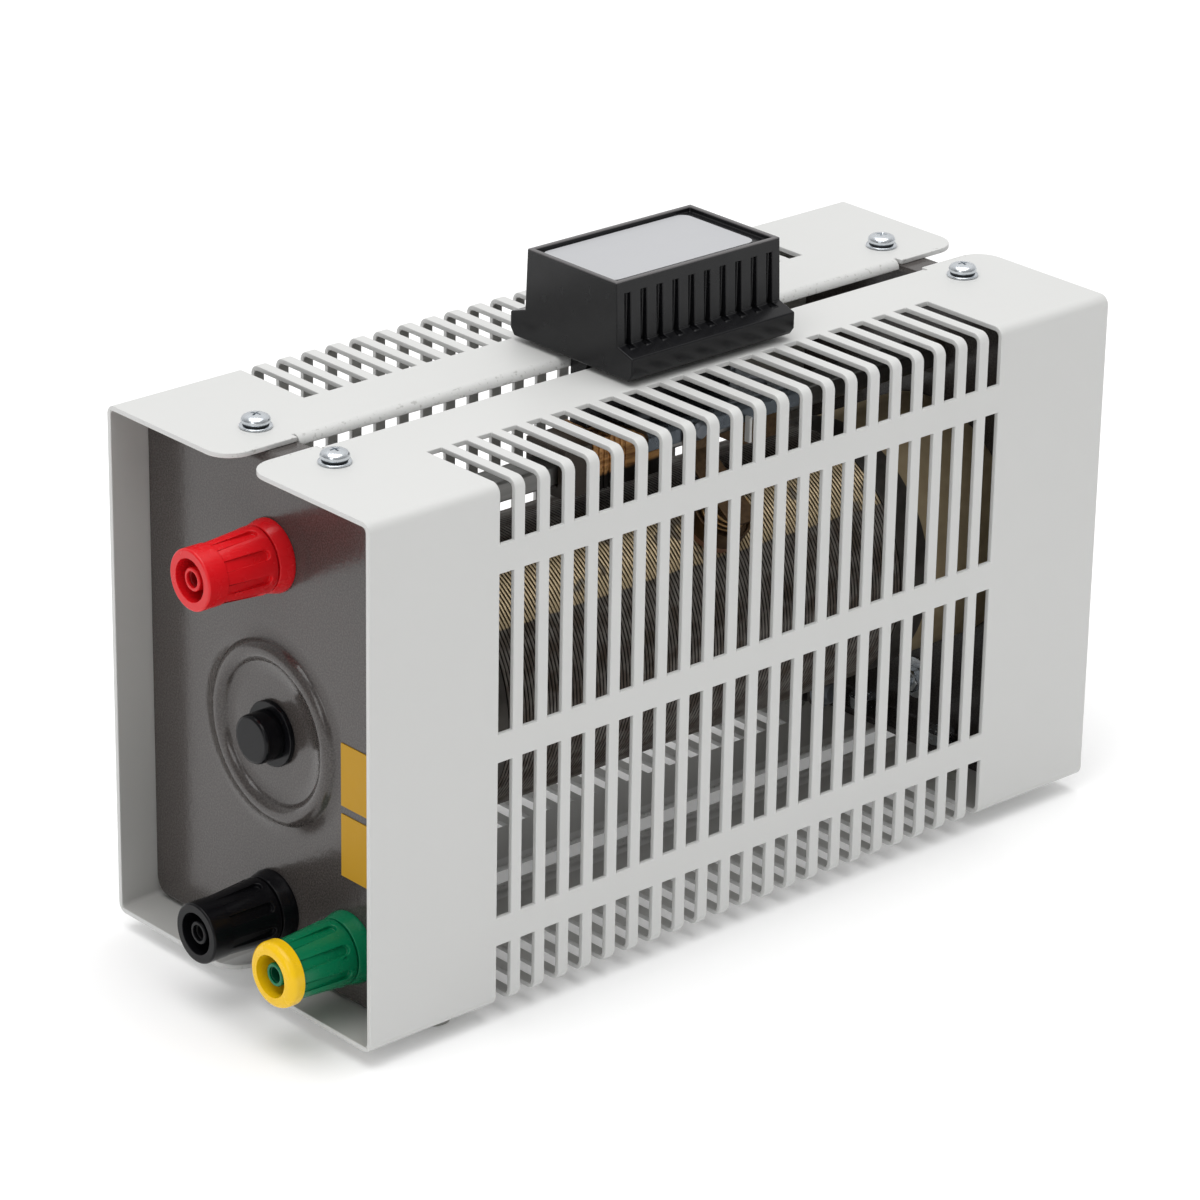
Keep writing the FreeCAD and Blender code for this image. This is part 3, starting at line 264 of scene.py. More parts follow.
def eased(node, finish, edge, name, corners=0):
    """The CAD node as one closed mesh with its sharp edges rounded over."""
    mesh = nodes[node].data.copy()
    mesh.name = name
    mesh.materials.clear()
    mesh.materials.append(finish)
    work = bmesh.new()
    work.from_mesh(mesh)
    bmesh.ops.remove_doubles(work, verts=work.verts, dist=weld_reach)
    bmesh.ops.dissolve_limit(work, angle_limit=flat_turn, verts=work.verts, edges=work.edges)
    if corners:
        upright = [e for e in work.edges
                   if abs(e.verts[0].co.z - e.verts[1].co.z) > 0.99 * e.calc_length()]
        bmesh.ops.bevel(
            work, geom=upright, offset=corners, offset_type="OFFSET", segments=5, profile=0.5,
            affect="EDGES", clamp_overlap=False)
    sharp = [e for e in work.edges if e.is_manifold and e.calc_face_angle() > bend_turn]
    if edge:
        bmesh.ops.bevel(
            work, geom=sharp, offset=edge, offset_type="OFFSET", segments=2, profile=0.5,
            affect="EDGES", clamp_overlap=False)
    work.to_mesh(mesh)
    work.free()
    mesh.shade_smooth()
    mesh.set_sharp_from_angle(angle=crease_turn)
    made = mesh_object(name, mesh)
    even = made.modifiers.new("flat_faces_stay_flat", "WEIGHTED_NORMAL")
    even.keep_sharp = True
    even.weight = flat_face_weight
    return declare(made, node)


cover_paint, cover_inputs, cover_place = material("cover_powder_coat", rgb(0.60, 0.60, 0.59), 0.5)
cover_side = abs(cover_place.part("Y"))
cover_level = abs(cover_place.part("Z") - case_middle.z)
inner_roof = cover_high.z - case_middle.z - cover_sheet
inner_wall = abs(cover_low.y) - cover_sheet
coat_edge = 0.2 * mm
lip_half_width = 9 * mm
# Painted shade: the inner faces of the covers, away from the slit, are painted a darker grey for
# the shade inside the case.
inside = (1 - cover_side.step(inner_wall, inner_wall + coat_edge)) * (
    1 - cover_level.step(inner_roof, inner_roof + coat_edge)) * (
    cover_side.step(lip_half_width, lip_half_width + 1 * mm))
cover_tone = cover_place.noise(60 * mm).blend(rgb(0.590, 0.592, 0.580), rgb(0.612, 0.614, 0.604))
tone_with_inner_shade = inside.blend(cover_tone, rgb(0.43, 0.43, 0.415))
rub_width = 5.0 * mm
rubbed = cover_place.noise(1.1 * mm, 5.0).step(0.56, 0.70) * (
    1 - cover_side.step(rub_width, rub_width + 1.4 * mm))
put(cover_inputs["Base Color"], (0.40 * rubbed).blend(tone_with_inner_shade, rgb(0.16, 0.15, 0.13)))
put(cover_inputs["Roughness"], 0.40 + 0.16 * cover_place.noise(9 * mm))
put(cover_inputs["Normal"], cover_place.noise(0.7 * mm, 3.0).bump(0.02 * mm))
eased("near_cover", cover_paint, cover_edge, "near_cover_sheet")
eased("far_cover", cover_paint, cover_edge, "far_cover_sheet")

# End plates: 2 mm steel with flanges turned in and a ring pressed outward round the
# tube's axis, in dark hammer finish paint, which stands in small soft lumps.
panel_paint, panel_inputs, panel_place = material(
    "panel_hammer_paint", rgb(0.06, 0.052, 0.049), 0.2)
lump_depth = 0.05 * mm
panel_lumps = panel_place.noise(1.7 * mm, 2.0)
panel_flecks = panel_place.noise(0.5 * mm, 3.0)
put(panel_inputs["Base Color"], panel_flecks.step(0.35, 0.7).blend(
    rgb(0.043, 0.037, 0.035), rgb(0.076, 0.067, 0.062)))
put(panel_inputs["Roughness"], 0.13 + 0.12 * panel_lumps)
winding_low, winding_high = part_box("resistance_winding")
winding_axis_height = (winding_low.z + winding_high.z) / 2
panel_across = panel_place.part("Y")
panel_height = panel_place.part("Z") - winding_axis_height
bead_middle_radius = 23.0 * mm
bead_half_width = 3.0 * mm
bead_foot_reach = 4.5 * mm
bead_foot_rise = 0.8 * mm
beside_bead = abs(
    (panel_across * panel_across + panel_height * panel_height).root() - bead_middle_radius)
bead_foot = beside_bead.node(
    "ShaderNodeMath", {"operation": "MULTIPLY_ADD", "use_clamp": True},
    {0: beside_bead, 1: -1 / bead_foot_reach, 2: 1 + bead_half_width / bead_foot_reach})
put(panel_inputs["Normal"], (
    lump_depth * panel_lumps + bead_foot_rise * bead_foot * bead_foot).bump(1.0))
eased("front_end_plate", panel_paint, 0.3 * mm, "front_end_plate_pressing")
eased("rear_end_plate", panel_paint, 0.3 * mm, "rear_end_plate_pressing")

# Amber patches: two plain squares of matt film, stuck one above the other on the front
# plate beside the ring. They follow the lumps of the paint below them.
amber_film, amber_inputs, amber_place = material(
    "amber_film", rgb(0.49, 0.265, 0.008), 0.5, gloss=0.25)
put(amber_inputs["Roughness"], 0.42 + 0.15 * amber_place.noise(3 * mm))
put(amber_inputs["Normal"], amber_place.noise(1.7 * mm, 2.0).bump(0.03 * mm))
eased("panel_patches", amber_film, 0, "amber_patches")

# Cover screws: zinc plated M4 pan heads with cross recesses, each on a split
# spring washer and a flat washer, in four places on the top and four below.
screw_head_radius = 4.0 * mm
screw_head_height = 2.35 * mm
screw_shank_radius = 1.95 * mm
screw_end = 7.6 * mm
thread_pitch = 0.7 * mm
thread_root = 1.6 * mm
flat_washer_height = 0.7 * mm
split_washer_inner = 2.1 * mm
split_washer_outer = 3.6 * mm
split_washer_height = 0.75 * mm
split_washer_rise = 0.25 * mm
split_washer_gap = math.radians(9)
recess_reach = 2.1 * mm
recess_half_width = 0.42 * mm
recess_depth = 1.5 * mm


def turned(profile, steps, closed=False):
    """A piece turned about Z from (radius, height) points that run down its outside."""
    spots, rings = [], []
    for radius, height in profile:
        count = steps if radius else 1
        rings.append([len(spots) + i for i in range(count)])
        for i in range(count):
            turn = 2 * math.pi * i / steps
            spots.append((radius * math.cos(turn), radius * math.sin(turn), height))
    faces = []
    for upper, lower in zip(rings, rings[1:] + (rings[:1] if closed else [])):
        for i in range(steps):
            corners = (upper[i % len(upper)], lower[i % len(lower)],
                       lower[(i + 1) % steps % len(lower)], upper[(i + 1) % steps % len(upper)])
            faces.append(list(dict.fromkeys(corners)))
    mesh = bpy.data.meshes.new("turned")
    mesh.from_pydata(spots, [], [face for face in faces if len(face) > 2])
    return mesh


def split_ring(inner, outer, height, rise, gap, steps):
    """A spring washer: one open turn of square wire whose ends stand apart."""
    section = ((outer, height), (outer, 0), (inner, 0), (inner, height))
    spots = []
    for i in range(steps + 1):
        turn = gap / 2 + (2 * math.pi - gap) * i / steps
        lift = rise * i / steps
        spots += [(r * math.cos(turn), r * math.sin(turn), z + lift) for r, z in section]
    faces = [(4 * i + k, 4 * i + (k + 1) % 4, 4 * i + 4 + (k + 1) % 4, 4 * i + 4 + k)
             for i in range(steps) for k in range(4)]
    faces += [(3, 2, 1, 0), tuple(4 * steps + k for k in range(4))]
    mesh = bpy.data.meshes.new("split_ring")
    mesh.from_pydata(spots, [], faces)
    return mesh


def cross_cutter(reach, half, depth, top, taper=0.45):
    """The tapered cross that the driver's recess is cut with."""
    outline = [(half, reach), (-half, reach), (-half, half), (-reach, half), (-reach, -half),
               (-half, -half), (-half, -reach), (half, -reach), (half, -half), (reach, -half),
               (reach, half), (half, half)]
    count = len(outline)
    spots = [(x, y, top + depth) for x, y in outline]
    spots += [(taper * x, taper * y, top - depth) for x, y in outline]
    faces = [tuple(range(count)), tuple(reversed(range(count, 2 * count)))]
    faces += [(i, i + count, (i + 1) % count + count, (i + 1) % count) for i in range(count)]
    mesh = bpy.data.meshes.new("cross_cutter")
    mesh.from_pydata(spots, [], faces)
    return mesh


def plain(made, name):
    """The evaluated object as a plain mesh; the object and its modifiers go."""
    bpy.context.view_layer.update()
    mesh = bpy.data.meshes.new_from_object(
        made.evaluated_get(bpy.context.evaluated_depsgraph_get()))
    mesh.name = name
    made.modifiers.clear()
    bpy.data.objects.remove(made)
    return mesh


def grown(name, base, sizes, build, finish):
    """Grows a base mesh with a Geometry Nodes tree that has a named input for each size."""
    tree = bpy.data.node_groups.new(name, "GeometryNodeTree")
    tree.interface.new_socket("Base", in_out="INPUT", socket_type="NodeSocketGeometry")
    for size, value in sizes.items():
        kind = ("Object" if isinstance(value, bpy.types.Object)
                else "Int" if isinstance(value, int) else "Float")
        tree.interface.new_socket(size, in_out="INPUT", socket_type="NodeSocket" + kind)
    tree.interface.new_socket("Result", in_out="OUTPUT", socket_type="NodeSocketGeometry")
    given = tree.nodes.new("NodeGroupInput")
    shape = build({s.name: Shade(tree, s) for s in given.outputs if s.name})
    real = shape.node("GeometryNodeRealizeInstances", values={"Geometry": shape})
    painted = real.node("GeometryNodeSetMaterial", values={"Geometry": real, "Material": finish})
    put(tree.nodes.new("NodeGroupOutput").inputs["Result"], painted)
    host = mesh_object(name + "_host", base)
    growth = host.modifiers.new("growth", "NODES")
    growth.node_group = tree
    for socket in tree.interface.items_tree:
        if socket.in_out == "INPUT" and socket.name in sizes:
            growth[socket.identifier] = sizes[socket.name]
    return plain(host, name)


def seated(given):
    """Sets the piece on every seat, along the seat's own way up, and spins each at random."""
    piece = given["Piece"].node(
        "GeometryNodeObjectInfo", values={"Object": given["Piece"]}, output="Geometry")
    way = piece.node(
        "GeometryNodeInputNamedAttribute", {"data_type": "FLOAT_VECTOR"}, {"Name": "way_up"})
    upright = way.node("FunctionNodeAlignRotationToVector", {"axis": "Z"}, {"Vector": way})
    copies = piece.node(
        "GeometryNodeInstanceOnPoints",
        values={"Points": given["Base"], "Instance": piece, "Rotation": upright})
    spin = piece.node(
        "FunctionNodeRandomValue", {"data_type": "FLOAT"},
        {3: given["Spin"], 8: given["Seed"]}, output=1)
    spun = spin.node("ShaderNodeCombineXYZ", values={"Z": spin})
    return copies.node(
        "GeometryNodeRotateInstances", values={"Instances": copies, "Rotation": spun})


def set_on_seats(node, mesh, seats, seed, finish, name, smooth):
    """Copies of one small piece on their seats, in place of a CAD node."""
    points = bpy.data.meshes.new(name + "_seats")
    points.from_pydata([spot for spot, way in seats], [], [])
    ways = points.attributes.new("way_up", "FLOAT_VECTOR", "POINT")
    for i, (spot, way) in enumerate(seats):
        ways.data[i].vector = way
    pattern = mesh_object(name + "_pattern", mesh)
    whole = grown(
        name, points, {"Piece": pattern, "Spin": 2 * math.pi, "Seed": seed}, seated, finish)
    bpy.data.objects.remove(pattern)
    whole.shade_smooth()
    whole.set_sharp_from_angle(angle=math.radians(smooth))
    return declare(mesh_object(name, whole), node)


zinc_plate, zinc_inputs, zinc_place = material("zinc_plate", rgb(0.66, 0.69, 0.72), 0.25, 1.0)
put(zinc_inputs["Base Color"], zinc_place.noise(2.5 * mm, 4.0).blend(
    rgb(0.56, 0.60, 0.64), rgb(0.80, 0.83, 0.86)))
put(zinc_inputs["Roughness"], 0.17 + 0.16 * zinc_place.noise(1.2 * mm, 3.0))
# Painted shade: the split washers are near black, for the shade between each screw head and its
# flat washer.
spring_steel, spring_shade_inputs, spring_shade_place = material(
    "dark_spring_steel", rgb(0.05, 0.055, 0.06), 0.35, 0.9)
put(spring_shade_inputs["Roughness"], 0.28 + 0.2 * spring_shade_place.noise(1.0 * mm, 3.0))
screw_side = 16.5 * mm
screw_inset = 20 * mm
screw_seats = [
    (Vector((x, y, z)), Vector((0, 0, way)))
    for x in (cover_low.x + screw_inset, cover_high.x - screw_inset)
    for y in (-screw_side, screw_side)
    for z, way in ((cover_high.z, 1), (cover_low.z, -1))]
head_foot = flat_washer_height + split_washer_height
head_points = [(0, 1.0), (0.28, 0.985), (0.52, 0.93), (0.72, 0.84), (0.87, 0.70), (0.96, 0.52),
               (1.0, 0.34), (0.99, 0.10), (0.95, 0.0)]
head_profile = [(screw_head_radius * r, head_foot + screw_head_height * z) for r, z in head_points]
thread_profile = [(screw_shank_radius, head_foot)]
thread_turns = int((screw_end + head_foot) / thread_pitch)
for i in range(thread_turns):
    crest = head_foot - thread_pitch * (i + 0.5)
    thread_profile += [(screw_shank_radius, crest), (thread_root, crest - thread_pitch / 2)]
thread_profile.append((0, thread_profile[-1][1]))
head_object = mesh_object("screw_blank", turned(head_profile + thread_profile, 40))
cutter_object = mesh_object(
    "recess_cutter",
    cross_cutter(recess_reach, recess_half_width, recess_depth, head_foot + screw_head_height))
recess_cut = head_object.modifiers.new("recess", "BOOLEAN")
recess_cut.operation = "DIFFERENCE"
recess_cut.solver = "EXACT"
recess_cut.object = cutter_object
screw_mesh = plain(head_object, "pan_head_screw")
bpy.data.objects.remove(cutter_object)
set_on_seats("cover_screws", screw_mesh, screw_seats, 7, zinc_plate, "pan_head_screws", 40)
set_on_seats(
    "cover_spring_washers",
    split_ring(split_washer_inner, split_washer_outer, split_washer_height - split_washer_rise,
               split_washer_rise, split_washer_gap, 36),
    [(spot + way * flat_washer_height, way) for spot, way in screw_seats], 3, spring_steel,
    "split_spring_washers", 40)
washer_points = [
    (2.15, 0.7), (4.38, 0.7), (4.5, 0.58), (4.5, 0.30), (4.22, 0.12), (4.20, 0.0), (2.15, 0.0)]
set_on_seats(
    "cover_flat_washers", turned([(r * mm, z * mm) for r, z in washer_points], 48, closed=True),
    screw_seats, 5, zinc_plate, "flat_washers", 50)
for zinc_node in ("press_nuts", "tie_rod", "tie_rod_nuts", "centring_discs", "guide_bar_screw",
                  "earth_screw", "earth_washer", "earth_nut", "terminal_nuts"):
    eased(zinc_node, zinc_plate, 0.12 * mm, zinc_node + "_plated")

# Feet: grey rubber plugs pushed into holes in the bottom of the covers, the front
# pair wider apart than the rear pair.
foot_rubber, foot_inputs, foot_place = material("foot_rubber", rgb(0.28, 0.285, 0.26), 0.7)
put(foot_inputs["Base Color"], foot_place.noise(3 * mm, 3.0).blend(
    rgb(0.25, 0.255, 0.232), rgb(0.32, 0.325, 0.30)))
put(foot_inputs["Roughness"], 0.62 + 0.2 * foot_place.noise(1.0 * mm))
put(foot_inputs["Normal"], foot_place.noise(0.4 * mm).bump(0.02 * mm))
foot_inset = 31.5 * mm
front_foot_side = 42.5 * mm
rear_foot_side = 34.0 * mm
foot_places = [
    (cover_low.x + foot_inset, front_foot_side), (cover_high.x - foot_inset, rear_foot_side)]
foot_seats = [
    (Vector((x, sign * y, 0)), Vector((0, 0, 1))) for x, y in foot_places for sign in (-1, 1)]
foot_points = [
    (0, 8.5), (1.8, 8.5), (3.0, 6.55), (2.2, 6.5), (2.2, 5.0), (5.2, 5.0), (5.48, 4.7), (5.35, 2.4),
    (5.2, 1.0), (4.9, 0.35), (4.2, 0.0), (3.0, 0.0), (2.4, 0.8), (0, 0.9)]
set_on_seats(
    "rubber_feet", turned([(r * mm, z * mm) for r, z in foot_points], 40), foot_seats, 2,
    foot_rubber, "moulded_feet", 45)

# Tube: the core of the winding, extruded in tan ceramic and fired without a glaze.
# The tie rod and a centring disc at each end hold it between the plates.
tan_ceramic, ceramic_inputs, ceramic_place = material("tan_ceramic", rgb(0.30, 0.23, 0.13), 0.8)
put(ceramic_inputs["Base Color"], ceramic_place.noise(6 * mm, 5.0).blend(
    rgb(0.22, 0.165, 0.09), rgb(0.40, 0.32, 0.20)))
put(ceramic_inputs["Normal"], ceramic_place.noise(0.6 * mm, 4.0).bump(0.04 * mm))
eased("ceramic_tube", tan_ceramic, 0.5 * mm, "fired_tube")

# Winding: one layer of oxidised resistance wire, close wound on the tube, its crests
# rubbed bright in a strip on the near upper side where the brush runs.
wire_radius = 0.55 * mm
wire_pitch = 1.2 * mm
wound_radius = winding_high.y - 0.02 * mm
crest_start = wound_radius - 0.38 * mm
crest_end = wound_radius - 0.14 * mm
track_low = math.radians(39.5)
track_high = math.radians(67.0)
track_edge = math.radians(1.2)
dull_wire, wire_inputs, wire_place = material("resistance_wire", rgb(0.07, 0.06, 0.05), 0.5, 0.6)
wire_across = wire_place.part("Y")
wire_height = wire_place.part("Z") - winding_axis_height
wire_angle = wire_place.node(
    "ShaderNodeMath", {"operation": "ARCTAN2"}, {0: wire_height, 1: -1.0 * wire_across})
wire_wander = (wire_place.noise(9 * mm, 3.0) - 0.5) * 0.05 + wire_angle
wire_crest = (wire_across * wire_across + wire_height * wire_height).root().step(
    crest_start, crest_end)
track = wire_wander.step(track_low, track_low + track_edge) * (
    1 - wire_wander.step(track_high, track_high + track_edge))
scorch = wire_place.noise(11 * mm, 2.0).step(0.60, 0.66)
bare = track * wire_crest * (1 - 0.85 * scorch)
wire_tone = wire_place.noise(6 * mm, 4.0).step(0.35, 0.65).blend(
    rgb(0.075, 0.056, 0.042), rgb(0.19, 0.175, 0.158))
# Painted shade: below the crests the wire is painted near black, for the shade in the gaps between
# the turns.
wire_gap_shade = track.blend(rgb(0.018, 0.014, 0.011), rgb(0.060, 0.040, 0.020))
put(wire_inputs["Base Color"], bare.blend(
    wire_crest.blend(wire_gap_shade, wire_tone), rgb(0.53, 0.42, 0.26)))
put(wire_inputs["Metallic"], 0.35 + 0.35 * bare)
put(wire_inputs["Roughness"], 0.50 - 0.12 * bare)


def wound(given):
    """A round wire swept round a spiral that climbs along Z from z = 0."""
    spiral = given["Turns"].node("GeometryNodeCurveSpiral", values={
        "Resolution": 44, "Rotations": given["Turns"], "Start Radius": given["Coil Radius"],
        "End Radius": given["Coil Radius"], "Height": given["Length"]})
    section = spiral.node(
        "GeometryNodeCurvePrimitiveCircle",
        values={"Resolution": 8, "Radius": given["Wire Radius"]})
    return spiral.node("GeometryNodeCurveToMesh", values={
        "Curve": spiral, "Profile Curve": section, "Fill Caps": True})


winding_length = winding_high.x - winding_low.x - 2 * wire_radius
winding_mesh = grown(
    "wound_wire", bpy.data.meshes.new("empty_base"),
    {"Length": winding_length, "Coil Radius": wound_radius - wire_radius,
     "Turns": winding_length / wire_pitch, "Wire Radius": wire_radius}, wound, dull_wire)
winding_mesh.transform(
    Matrix.Translation((winding_low.x + wire_radius, 0, winding_axis_height))
    @ Matrix.Rotation(math.radians(90), 4, "Y"))
winding_mesh.shade_smooth()
declare(mesh_object("resistance_winding_wire", winding_mesh), "resistance_winding")

# Winding clamps: dark steel bands drawn tight under the tube by an M4 bolt in dull
# zinc, one at each end of the wire.
band_steel, band_inputs, band_place = material(
    "scaled_band_steel", rgb(0.06, 0.055, 0.05), 0.45, 0.8)
put(band_inputs["Base Color"], band_place.noise(4 * mm, 4.0).blend(
    rgb(0.04, 0.036, 0.032), rgb(0.12, 0.11, 0.10)))
put(band_inputs["Roughness"], 0.38 + 0.25 * band_place.noise(2 * mm, 3.0))
eased("winding_clamps", band_steel, 0.2 * mm, "winding_clamp_bands")
dull_zinc, dull_inputs, dull_place = material("dull_zinc", rgb(0.20, 0.215, 0.24), 0.4, 0.9)
put(dull_inputs["Base Color"], dull_place.noise(3 * mm, 3.0).blend(
    rgb(0.13, 0.145, 0.165), rgb(0.27, 0.285, 0.31)))
put(dull_inputs["Roughness"], 0.34 + 0.2 * dull_place.noise(1.5 * mm, 3.0))
for clamp_node in ("clamp_screws", "clamp_nuts", "clamp_washers"):
    eased(clamp_node, dull_zinc, 0.12 * mm, clamp_node + "_dull")

# Rod caps: glossy black moulded caps over the nuts of the tie rod, each nut on a
# washer that is painted black.
moulding_wave = 0.010 * mm
black_gloss, gloss_inputs, gloss_place = material(
    "black_gloss_moulding", rgb(0.004, 0.004, 0.005), 0.22, gloss=0.17)
put(gloss_inputs["Roughness"], 0.18 + 0.12 * gloss_place.noise(3 * mm, 2.0))
put(gloss_inputs["Normal"], gloss_place.noise(3 * mm, 1.0).bump(moulding_wave))
eased("rod_caps", black_gloss, 0.5 * mm, "tie_rod_caps")
eased("tie_rod_washers", black_gloss, 0.3 * mm, "tie_rod_black_washers")

# Guide bar: drawn steel flat, darkened and wiped with oil, screwed to the upper
# terminal in front and carried by a dark bush in the rear plate.
bar_steel, bar_inputs, bar_place = material("drawn_steel", rgb(0.22, 0.22, 0.215), 0.3, 1.0)
bar_streak = bar_place.node("ShaderNodeMapping", values={0: bar_place, 3: (0.04, 1.0, 1.0)})
put(bar_inputs["Base Color"], bar_streak.noise(1.5 * mm, 3.0).blend(
    rgb(0.15, 0.148, 0.142), rgb(0.33, 0.328, 0.32)))
put(bar_inputs["Roughness"], 0.22 + 0.25 * bar_streak.noise(0.3 * mm, 3.0))
eased("guide_bar", bar_steel, 0.15 * mm, "drawn_guide_bar")
phenolic, phenolic_inputs, phenolic_place = material(
    "phenolic_insulator", rgb(0.05, 0.035, 0.025), 0.5)
put(phenolic_inputs["Base Color"], phenolic_place.noise(0.8 * mm, 3.0).blend(
    rgb(0.030, 0.022, 0.016), rgb(0.065, 0.046, 0.032)))
for insulator in ("guide_bar_bush", "guide_bar_washer", "terminal_bushes", "front_guide_shoe"):
    eased(insulator, phenolic, 0.2 * mm, insulator + "_turned")

# Terminals: moulded caps with fluted grips turn on stems with 4 mm sockets, each on a
# collar of its own colour; a yellow ring marks the earth terminal. The mouths of the
# sockets are lined in darker copies of their terminal's colour, painted shade inside the
# mouths, and the brass begins behind the lining.
moulding_colours = {
    "red": rgb(0.66, 0.007, 0.012),
    "earth": rgb(0.0, 0.165, 0.068),
    "yellow": rgb(0.88, 0.54, 0.005)}
terminal_mouldings = {"black": black_gloss}
for moulding_name, moulding_colour in moulding_colours.items():
    moulding, moulding_inputs, moulding_place = material(
        moulding_name + "_moulding", moulding_colour, 0.26, gloss=0.34)
    put(moulding_inputs["Roughness"], 0.20 + 0.12 * moulding_place.noise(3 * mm, 2.0))
    put(moulding_inputs["Normal"], moulding_place.noise(3 * mm, 1.0).bump(moulding_wave))
    terminal_mouldings[moulding_name] = moulding
yellow_moulding = terminal_mouldings.pop("yellow")
plated_brass, brass_inputs, brass_place = material("plated_brass", rgb(0.70, 0.58, 0.36), 0.3, 1.0)
put(brass_inputs["Roughness"], 0.24 + 0.2 * brass_place.noise(1.5 * mm, 3.0))
dark_brass, dark_inputs, dark_place = material("darkened_brass", rgb(0.09, 0.055, 0.03), 0.4, 0.9)
put(dark_inputs["Base Color"], dark_place.noise(1.5 * mm, 3.0).blend(
    rgb(0.05, 0.030, 0.018), rgb(0.14, 0.088, 0.046)))
for terminal, moulding in terminal_mouldings.items():
    for part in ("_terminal_cap", "_terminal_base", "_terminal_sleeve"):
        eased(terminal + part, moulding, 0.18 * mm, terminal + part + "_moulding")
    eased(terminal + "_clamp_ring", plated_brass, 0.1 * mm, terminal + "_clamp_ring_turned")
eased("earth_terminal_ring", yellow_moulding, 0.15 * mm, "earth_ring_moulding")
lined_brass, lining_inputs, lining_place = material("lined_socket_brass", rgb(0.3, 0.2, 0.1), 0.35)
red_level = (70 * mm, 90 * mm)
earth_side = (-22 * mm, -12 * mm)
lining_end = (-127 * mm, -126 * mm)
lining_upper = lining_place.part("Z").step(*red_level)
lining_earth = 1 - lining_place.part("Y").step(*earth_side)
# Painted shade: the red and green linings are darker copies of their mouldings, for the shade in
# the socket mouths.
lining_with_shade = lining_upper.blend(
    lining_earth.blend(rgb(0.004, 0.004, 0.005), rgb(0.0, 0.07, 0.03)), rgb(0.30, 0.004, 0.006))
socket_depth = lining_place.part("X").step(*lining_end)
put(lining_inputs["Base Color"], socket_depth.blend(lining_with_shade, rgb(0.42, 0.33, 0.19)))
put(lining_inputs["Metallic"], socket_depth)
eased("terminal_stems", lined_brass, 0.1 * mm, "terminal_stems_turned")
for lug in ("terminal_lug", "clamp_lug"):
    eased(lug, plated_brass, 0.1 * mm, lug + "_stamped")

# Lead: black insulated wire behind the front plate, from the lug of the lower terminal
# to the lug of the front winding clamp.
lead_cover, lead_inputs, lead_place = material("lead_insulation", rgb(0.015, 0.015, 0.015), 0.5)
put(lead_inputs["Roughness"], 0.45 + 0.2 * lead_place.noise(2 * mm, 2.0))
eased("black_lead", lead_cover, 0, "lead_to_clamp")

# Knob: a glossy black moulding with a raised rim, finger grooves down both long
# sides and a bevelled skirt that hides the slit. A bare film with rounded corners
# lies in its top, nearer the front than the rear.
knob_moulding, knob_inputs, knob_place = material(
    "knob_moulding", rgb(0.006, 0.006, 0.007), 0.26, gloss=0.27)
knob_tone = knob_place.noise(7 * mm, 4.0).blend(
    rgb(0.003, 0.003, 0.004), rgb(0.010, 0.010, 0.011))
rim_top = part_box("knob_housing")[1].z
# Painted highlight: a lighter grey band along the top of the rim, where the light falls on it.
rim_top_highlight = knob_place.part("Z").step(rim_top - 0.5 * mm, rim_top - 0.1 * mm)
put(knob_inputs["Base Color"], rim_top_highlight.blend(knob_tone, rgb(0.12, 0.115, 0.117)))
put(knob_inputs["Roughness"], 0.17 + 0.16 * knob_place.noise(6 * mm, 4.0))
put(knob_inputs["Normal"], knob_place.noise(0.35 * mm, 2.0).bump(0.010 * mm))
eased("knob_housing", knob_moulding, 0.4 * mm, "moulded_knob")
label_film, label_inputs, label_place = material("label_film", rgb(0.44, 0.445, 0.46), 0.38)
put(label_inputs["Roughness"], 0.33 + 0.12 * label_place.noise(8 * mm, 2.0))
put(label_inputs["Normal"], label_place.noise(5 * mm, 2.0).bump(0.02 * mm))
label_gap = 0.6 * mm
label_near_gap = 2.6 * mm
label_rear_gap = 2.9 * mm
label_corner = 3.0 * mm
label_plate = eased(
    "knob_label_plate", label_film, 0.06 * mm, "bare_label_plate", corners=label_corner)
label_low, label_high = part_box("knob_label_plate")
label_middle = (label_low + label_high) / 2
for corner in label_plate.data.vertices:
    corner.co.x += label_gap if corner.co.x < label_middle.x else -label_rear_gap
    corner.co.y += label_near_gap if corner.co.y < label_middle.y else -label_gap

# Carriage: a blued sheet bracket screwed under the knob's neck. It carries graphite
# filled bronze blocks that slide on the guide bar, painted near black below as shade.
blued_steel, blued_inputs, blued_place = material("blued_steel", rgb(0.10, 0.115, 0.13), 0.25, 0.9)
put(blued_inputs["Base Color"], blued_place.noise(5 * mm, 4.0).blend(
    rgb(0.060, 0.070, 0.082), rgb(0.15, 0.17, 0.19)))
put(blued_inputs["Roughness"], 0.18 + 0.22 * blued_place.noise(3 * mm, 3.0))
eased("carriage_bracket", blued_steel, 0.2 * mm, "carriage_bracket_blued")
# Painted shade: the lower part of the front block, up to a wavering line, is painted near black.
shade_height = 4.6 * mm
shade_wander = 1.2 * mm
shade_fade = 1.5 * mm
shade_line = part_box("front_guide_block")[0].z + shade_height
block_bronze, bronze_inputs, bronze_place = material(
    "block_bronze", rgb(0.30, 0.17, 0.08), 0.34, 0.8)
block_streak = bronze_place.node(
    "ShaderNodeMapping", values={0: bronze_place, 3: (0.12, 1.0, 1.0)})
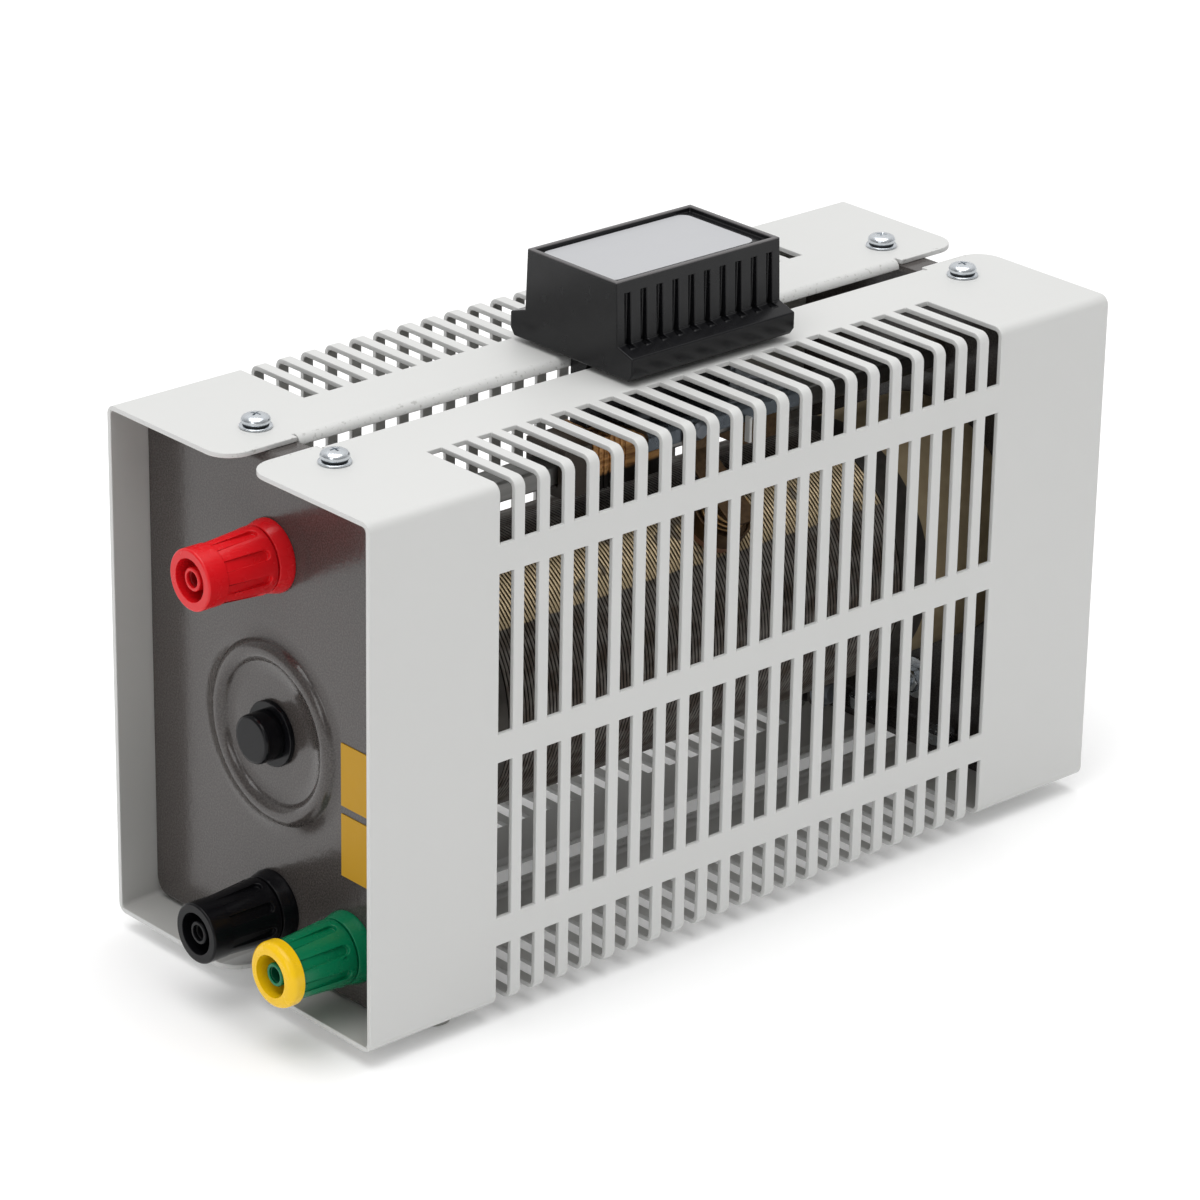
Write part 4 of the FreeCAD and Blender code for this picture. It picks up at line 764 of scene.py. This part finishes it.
bronze_tone = block_streak.noise(1.1 * mm, 4.0).step(0.3, 0.7).blend(
    rgb(0.20, 0.095, 0.036), rgb(0.60, 0.32, 0.12))
lower_shade = (bronze_place.part("Z") + shade_wander * bronze_place.noise(4 * mm)).step(
    shade_line, shade_line + shade_fade)
put(bronze_inputs["Base Color"], lower_shade.blend(rgb(0.010, 0.008, 0.007), bronze_tone))
put(bronze_inputs["Roughness"], 0.28 + 0.25 * bronze_place.noise(1.0 * mm, 3.0))
eased("front_guide_block", block_bronze, 0.2 * mm, "front_guide_block_machined")
# Painted shade: the rear block, twin of the front one, takes the dark brass for the shade at the
# back of the case.
eased("rear_guide_block", dark_brass, 0.2 * mm, "rear_guide_block_machined")
white_nylon, nylon_inputs, nylon_place = material("white_nylon", rgb(0.80, 0.80, 0.78), 0.45)
put(nylon_inputs["Roughness"], 0.4 + 0.15 * nylon_place.noise(1 * mm))
eased("cable_tie", white_nylon, 0, "cable_tie_tail")

# Contact: a round copper graphite brush in a spun brass cup, pressed on the winding
# by a coil spring under a bent leaf that hangs from the bracket.
copper_brush, copper_inputs, copper_place = material(
    "copper_graphite", rgb(0.30, 0.15, 0.09), 0.4, 0.6)
put(copper_inputs["Base Color"], copper_place.noise(1.5 * mm, 4.0).blend(
    rgb(0.20, 0.10, 0.06), rgb(0.40, 0.22, 0.14)))
eased("contact_brush", copper_brush, 0.3 * mm, "contact_brush_pressed")
spring_brass, spring_inputs, spring_place = material(
    "spring_brass", rgb(0.34, 0.20, 0.09), 0.3, 0.95)
put(spring_inputs["Base Color"], spring_place.noise(2 * mm, 3.0).blend(
    rgb(0.20, 0.115, 0.05), rgb(0.46, 0.29, 0.13)))
put(spring_inputs["Roughness"], 0.26 + 0.2 * spring_place.noise(1.5 * mm, 3.0))
eased("contact_cup", dark_brass, 0.15 * mm, "contact_cup_spun")
eased("contact_spring", spring_brass, 0, "contact_spring_coiled")
eased("contact_arm", dark_brass, 0.15 * mm, "contact_arm_bent")
for carriage_node in ("contact_arm_screw", "carriage_screws"):
    eased(carriage_node, dull_zinc, 0.12 * mm, carriage_node + "_dull")
